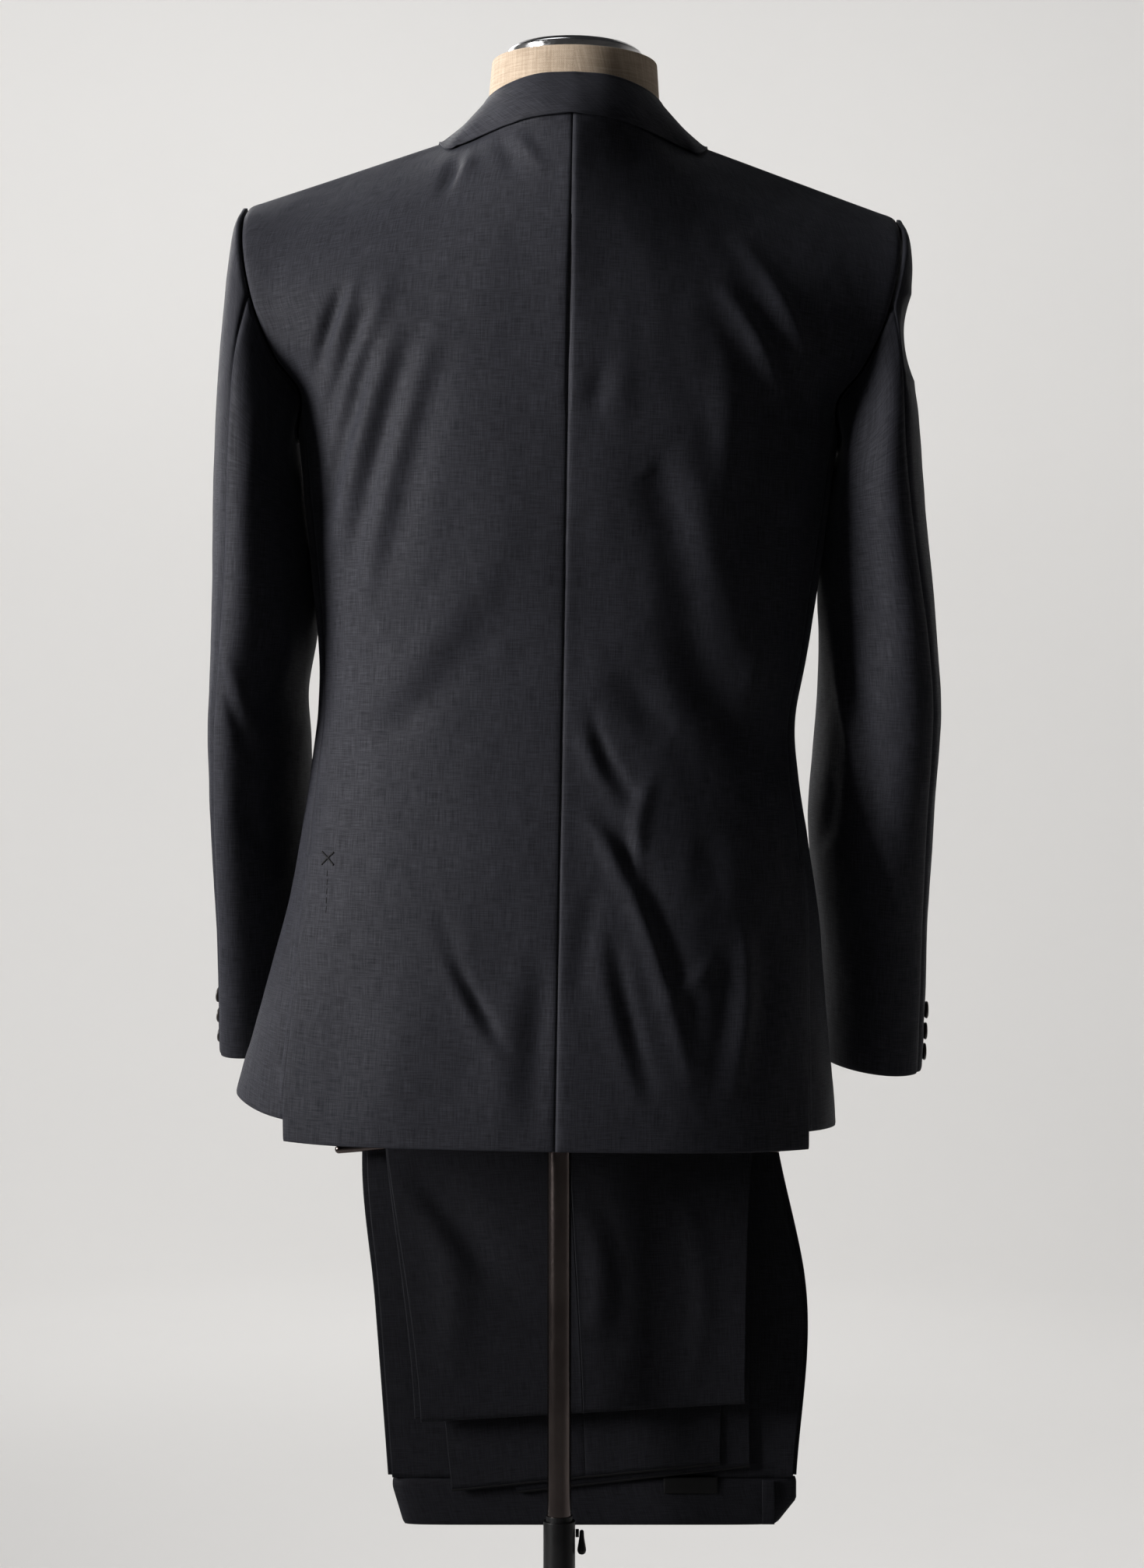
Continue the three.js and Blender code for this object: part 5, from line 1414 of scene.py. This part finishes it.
for label, sign in (("near", 1), ("far", -1)):
    points = gridOf(lambda turn, share: waistbandPoint(sign, turn, share), evenTurns(detail["legStep"]),
                    stops(waistband["tall"], detail["smallStep"]))
    relief = (reliefOf(points, bandLook, bandLook["seed"] + sign)
              + edgeHeights(points, ["none", "none", "seam", "seam"]))
    clothPiece(f"trousers.waistband_{label}", points, relief,
               lambda p, sign=sign: Vector((0, sign, 0)), upright,
               wall=waistband["wall"], material=trouserWoolPaintedShade)


def makeStrip(node, x, sign, look, material):
    # a narrow strip lying on the near (1) or far (-1) face of the waistband
    face = "near" if sign > 0 else "far"
    y = waistband[face] + sign * (leg["gap"] + look["lie"][face])
    half = look["width"] / 2
    points = gridOf(lambda u, v: [x + mix(-half, half, u),
                                  y + sign * look["arch"] * math.sin(math.pi * v) ** 0.5,
                                  mix(look["low"], look["high"], v)],
                    stops(look["width"], 1.6, (0.0, 0.5)),
                    stops(look["high"] - look["low"], 2.4, (0.0, 0.6)))
    clothPiece(node, points, 0.25 * fadeAtEdges(points, 1.1), lambda p: Vector((0, sign, 0)), upright,
               wall=look["wall"], material=material)


loopLook = dict(width=10, low=waistband["bottom"] + 1, high=waistband["top"] - 0.5, arch=0.9, wall=1.6,
                lie=dict(near=1.4, far=1.6))
labelLook = dict(width=43, low=462.5, high=475.5, arch=0.15, wall=0.8, lie=dict(near=0.8))
makeStrip("trousers.belt_loop_near", -167, 1, loopLook, trouserWoolPaintedShade)
for k, x in enumerate((-150, -28, 96)):
    makeStrip(f"trousers.belt_loop_far_{k + 1}", x, -1, loopLook, trouserWoolPaintedShade)
makeStrip("trousers.label", -105, 1, labelLook, tape)
print("trousers made")


# ---- bar, clamp, pole and stand ----
def tubeAlong(points, radius):
    curve = bpy.data.curves.new("path", "CURVE")
    curve.dimensions = "3D"
    curve.bevel_depth = radius * mm
    curve.bevel_resolution = 6
    curve.use_fill_caps = True
    line = curve.splines.new("POLY")
    line.points.add(len(points) - 1)
    for spot, p in zip(line.points, points):
        spot.co = (*(Vector(p) * mm), 1)
    holder = bpy.data.objects.new("path", curve)
    scene.collection.objects.link(holder)
    mesh = bpy.data.meshes.new_from_object(holder.evaluated_get(bpy.context.evaluated_depsgraph_get()))
    bm = bmesh.new()
    bm.from_mesh(mesh)
    bpy.data.objects.remove(holder)
    bpy.data.meshes.remove(mesh)
    return bm


def roundedPath(places, count=9):
    rows = [dict(zip("xyz", place)) for place in places]
    spans = len(rows) - 1
    return [tuple(along(rows, k / count)) for k in range(spans * count + 1)]


barPath = [(-6, -20.6, 777), (-7, -30, 777), (-15, -39, 777), (-34, -42, 776.5), (-68, -42, 775.7),
           (-100, -42, 775), (-136, -42, 773.6), (-172, -42, 771), (-181, -42, 766.5), (-184, -42, 759),
           (-181.5, -42, 749), (-174, -42, barHeight(174) + 1)]
barPath += [(x, bar["y"], barHeight(x)) for x in (*range(-160, 161, 20), bar["end"])]
barBm = tubeAlong(roundedPath(barPath), bar["radius"])
bmesh.ops.create_uvsphere(barBm, u_segments=28, v_segments=16, radius=bar["radius"] * mm,
                          matrix=move(bar["end"], bar["y"], barHeight(bar["end"])))
pieceFromBmesh("form_trouser_bar", barBm, paintedReflectionMetal, ["form.trouser_bar"])


def tubeWall(outer, inner, low, high, soften):
    middle = (inner, mix(low, high, 0.5))
    return roundedProfile([middle, (inner, low), (outer, low), (outer, high), (inner, high), middle], soften)


clampLook = dict(outer=16, inner=9.8, low=769, high=785, soften=1.1, arm=(9, 7, 9), armAt=(-6, -16.5, 777),
                 armBevel=0.8, screwAt=(16.3, 0, 777), screw=(2.6, 2.4), screwDepth=2.6)


def makeClamp():
    look = clampLook
    bm = spinProfile(tubeWall(*(look[key] for key in ("outer", "inner", "low", "high", "soften"))))
    arm = bmesh.ops.create_cube(bm, size=1.0, matrix=move(*look["armAt"]) @ Matrix.Diagonal(
        (*(side * mm for side in look["arm"]), 1)))
    edges = list({edge for vert in arm["verts"] for edge in vert.link_edges})
    bmesh.ops.bevel(bm, geom=edges, offset=look["armBevel"] * mm, segments=3, affect="EDGES", profile=0.5,
                    material=-1)
    # the grub screw's end
    bottom, top = (radius * mm for radius in look["screw"])
    bmesh.ops.create_cone(bm, cap_ends=True, segments=32, radius1=bottom, radius2=top,
                          depth=look["screwDepth"] * mm,
                          matrix=move(*look["screwAt"]) @ Matrix.Rotation(math.pi / 2, 4, "Y"))
    pieceFromBmesh("form_bar_clamp", bm, black, ["form.bar_clamp"], smoothAngle=30)


makeClamp()
leverLook = dict(x=-17.6, pivot=444, length=17, thin=1.8, fat=3.8, tip=0.72, steps=24)


def leverOutline():
    look = leverLook
    outline = [(0, 2.6), (0.9, 2.4), (1.6, 1.6)]
    for t in [k / look["steps"] for k in range(look["steps"] + 1)]:
        tip = math.sqrt(clamp01(1 - max(0, (t - look["tip"]) / (1 - look["tip"])) ** 2))
        outline.append((mix(look["thin"], look["fat"], smooth(t)) * tip, -look["length"] * t))
    return outline


baseOutline = roundedProfile([(0, 0), (195, 0), (195, 5), (193, 7), (54, 11), (24, 16), (20, 46),
                              (12.8, 46), (12.8, 11.7), (0, 11.7)], 5, 5)
bossOutline = roundedProfile([(0, -1.35), (3.2, -1.35), (3.2, 1.35), (0, 1.35)], 0.5, 3)
bossPlace = move(-14.1, 0, leverLook["pivot"]) @ Matrix.Rotation(math.pi / 2, 4, "Y")
leverPlace = move(leverLook["x"], 0, leverLook["pivot"])
pieceFromBmesh("form_pole", spinProfile(tubeWall(9.5, 8, 255, 790, 0.5)), paintedReflectionMetal, ["form.pole"])
for node, bm, body, angle in (
        ("stand.pipe", spinProfile(tubeWall(12.5, 10.7, 12, 454, 0.6)), "stand", 40),
        ("stand.bushing", spinProfile(tubeWall(10.4, 9.85, 438, 458, 0.2)), "stand", 40),
        ("stand.base", spinProfile(baseOutline, 160), "stand", 50),
        ("stand.lever_boss", spinProfile(bossOutline, 40, bossPlace), "stand", 40),
        ("stand.lever", spinProfile(leverOutline(), 40, leverPlace), "lever", 40)):
    pieceFromBmesh(node.replace(".", "_"), bm, black, [node], body, angle)
print("bar, clamp, pole and stand made")


# ---- stitching ----
def stitchPiece(name, paths, radius):
    bm = bmesh.new()
    for path in paths:
        addInto(bm, tubeAlong(path, radius))
    pieceFromBmesh(name, bm, thread)


def threadOver(part, sign, places):
    # a thread over places (x, z) of a left panel, each lifted a little, without those that miss it
    path = []
    for x, z, lift in places:
        spot = spotOn(part, "left", x, z, sign)
        if spot is not None:
            path.append(tuple((lean @ ((spot + Vector((0, 0, lift))) * mm)) / mm))
    return path


ventTack = dict(x=177, z=970, half=4.8, top=961, bottom=927, stitches=5, long=4.6)


def tackPath(x0, z0, x1, z1, count=7, sag=0.35):
    return threadOver("back", 1, [(mix(x0, x1, t), mix(z0, z1, t), 0.35 + sag * math.sin(math.pi * t))
                                  for t in [k / (count - 1) for k in range(count)]])


def makeVentStitches():
    look = ventTack
    x, left, right = look["x"], look["x"] - look["half"], look["x"] + look["half"]
    low, high = look["z"] - look["half"], look["z"] + look["half"]
    crossed = [tackPath(left, low, right, high), tackPath(left, high, right, low)]
    starts = [mix(look["top"], look["bottom"], k / look["stitches"]) for k in range(look["stitches"])]
    basted = [tackPath(x, z, x + 0.3, z - look["long"], 4, 0.15) for z in starts]
    for name, paths, radius in (("vent_tack", crossed, 0.8), ("vent_basting", basted, 0.26)):
        stitchPiece(name, [path for path in paths if len(path) > 1], radius)


makeVentStitches()
stitchPiece("front_buttonholes",
            [threadOver("front", -1, [(mix(-13, 11, k / 10), z + lip, -0.3) for k in range(11)])
             for z in frontButtons["heights"] for lip in (-0.65, 0.65)], 0.55)
stitchPiece("trouser_serging", [legGrid(name, part, 3.0)[0].tolist() for name in legHems
                                for part in legHalves], 1.25)
print("stitching made")

# ---- studio ----
studio = dict(
    # shade is the colour of the painted shade on the wall's unlit side
    backdrop=(0.735, 0.725, 0.715), shade=(0.27, 0.267, 0.264), worldTint=(0.93, 0.94, 0.96),
    worldStrength=0.03, bowl=dict(radius=5600, bend=1700, height=6200, low=-0.5),
    key=dict(place=(3.05, 1.12, 1.85), size=(1.1, 1.5), power=26, tint=(1.0, 0.985, 0.97),
             aim=(0, 0, 1.32), spread=52),
    top=dict(place=(0.7, 0.1, 3.4), size=(1.2, 0.9), power=1.6, tint=(0.98, 0.99, 1.0), aim=(0, 0, 1.2),
             spread=70),
    front=dict(place=(1.5, -2.2, 2.6), size=(1.4, 1.4), power=16, tint=(1.0, 0.99, 0.98),
               aim=(0, 0, 1.0), spread=90),
    wall=dict(place=(0.4, -1.9, 3.4), size=(3.4, 0.8), power=146, tint=(1.0, 0.997, 0.99),
              aim=(0, -5.6, 0.9), spread=180))


def addLight(name, look):
    data = bpy.data.lights.new(name, "AREA")
    data.shape = "RECTANGLE"
    data.size, data.size_y = look["size"]
    data.energy = look["power"]
    data.color = look["tint"]
    data.spread = math.radians(look["spread"])
    light = bpy.data.objects.new(name, data)
    light.location = look["place"]
    light.visible_camera = False
    towards = Vector(look["aim"]) - Vector(look["place"])
    light.rotation_euler = towards.to_track_quat("-Z", "Y").to_euler()
    scene.collection.objects.link(light)


for name in ("key", "top", "front", "wall"):
    addLight(f"{name}Light", studio[name])


def backdropMaterial():
    material, tree, shader = newMaterial("paperBackdrop")
    marks, fine = addWear(tree, 1.2)
    pale = addRamp(tree, marks, tuple(c * 0.985 for c in studio["backdrop"]), studio["backdrop"])
    # above the floor the wall is painted darker away from the pale side: painted shade for the studio's unlit
    # side, which keeps soft shadows deep
    parts = addNode(tree, "SeparateXYZ", {0: addNode(tree, "TexCoord").outputs["Object"]}).outputs
    turned, raised = [
        addNode(tree, "MapRange", {"From Min": low, "From Max": high, "Value": parts[axis]},
                interpolation_type="SMOOTHSTEP").outputs[0]
        for axis, low, high in ((1, -1.6, 1.4), (2, 0.02, 0.9))]
    wallPaintedShade = addNode(tree, "Mix", {0: times(tree, turned, raised), 6: pale, 7: (*studio["shade"], 1)},
                  data_type="RGBA")
    setSockets(tree, shader, {"Base Color": wallPaintedShade.outputs[2], "Roughness": addRange(tree, fine, 0.9, 0.96)})
    return material


def makeBackdrop():
    # floor and wall in one turned sheet that bends up all round
    look = studio["bowl"]
    profile = [(0, look["low"]), (look["radius"] / 2, look["low"])]
    for turn in [math.radians(90 * k / 18) for k in range(19)]:
        profile.append((look["radius"] - look["bend"] * (1 - math.sin(turn)),
                        look["bend"] * (1 - math.cos(turn)) + look["low"]))
    profile.append((look["radius"], look["height"]))
    bm = spinProfile(profile, 128)
    for face in bm.faces:
        face.smooth = True
    middle = Vector((0, 0, 3))
    bmesh.ops.reverse_faces(
        bm, faces=[f for f in bm.faces if f.normal.dot(f.calc_center_median() - middle) > 0])
    floor = objectFrom("studioFloor", bm)
    floor.data.materials.append(backdropMaterial())


makeBackdrop()
world = bpy.data.worlds.new("studioWorld")
scene.world = world
world.use_nodes = True
setSockets(world.node_tree, world.node_tree.nodes["Background"],
           {"Color": (*studio["worldTint"], 1), "Strength": studio["worldStrength"]})
scene.view_settings.view_transform = "Standard"
print("studio made")
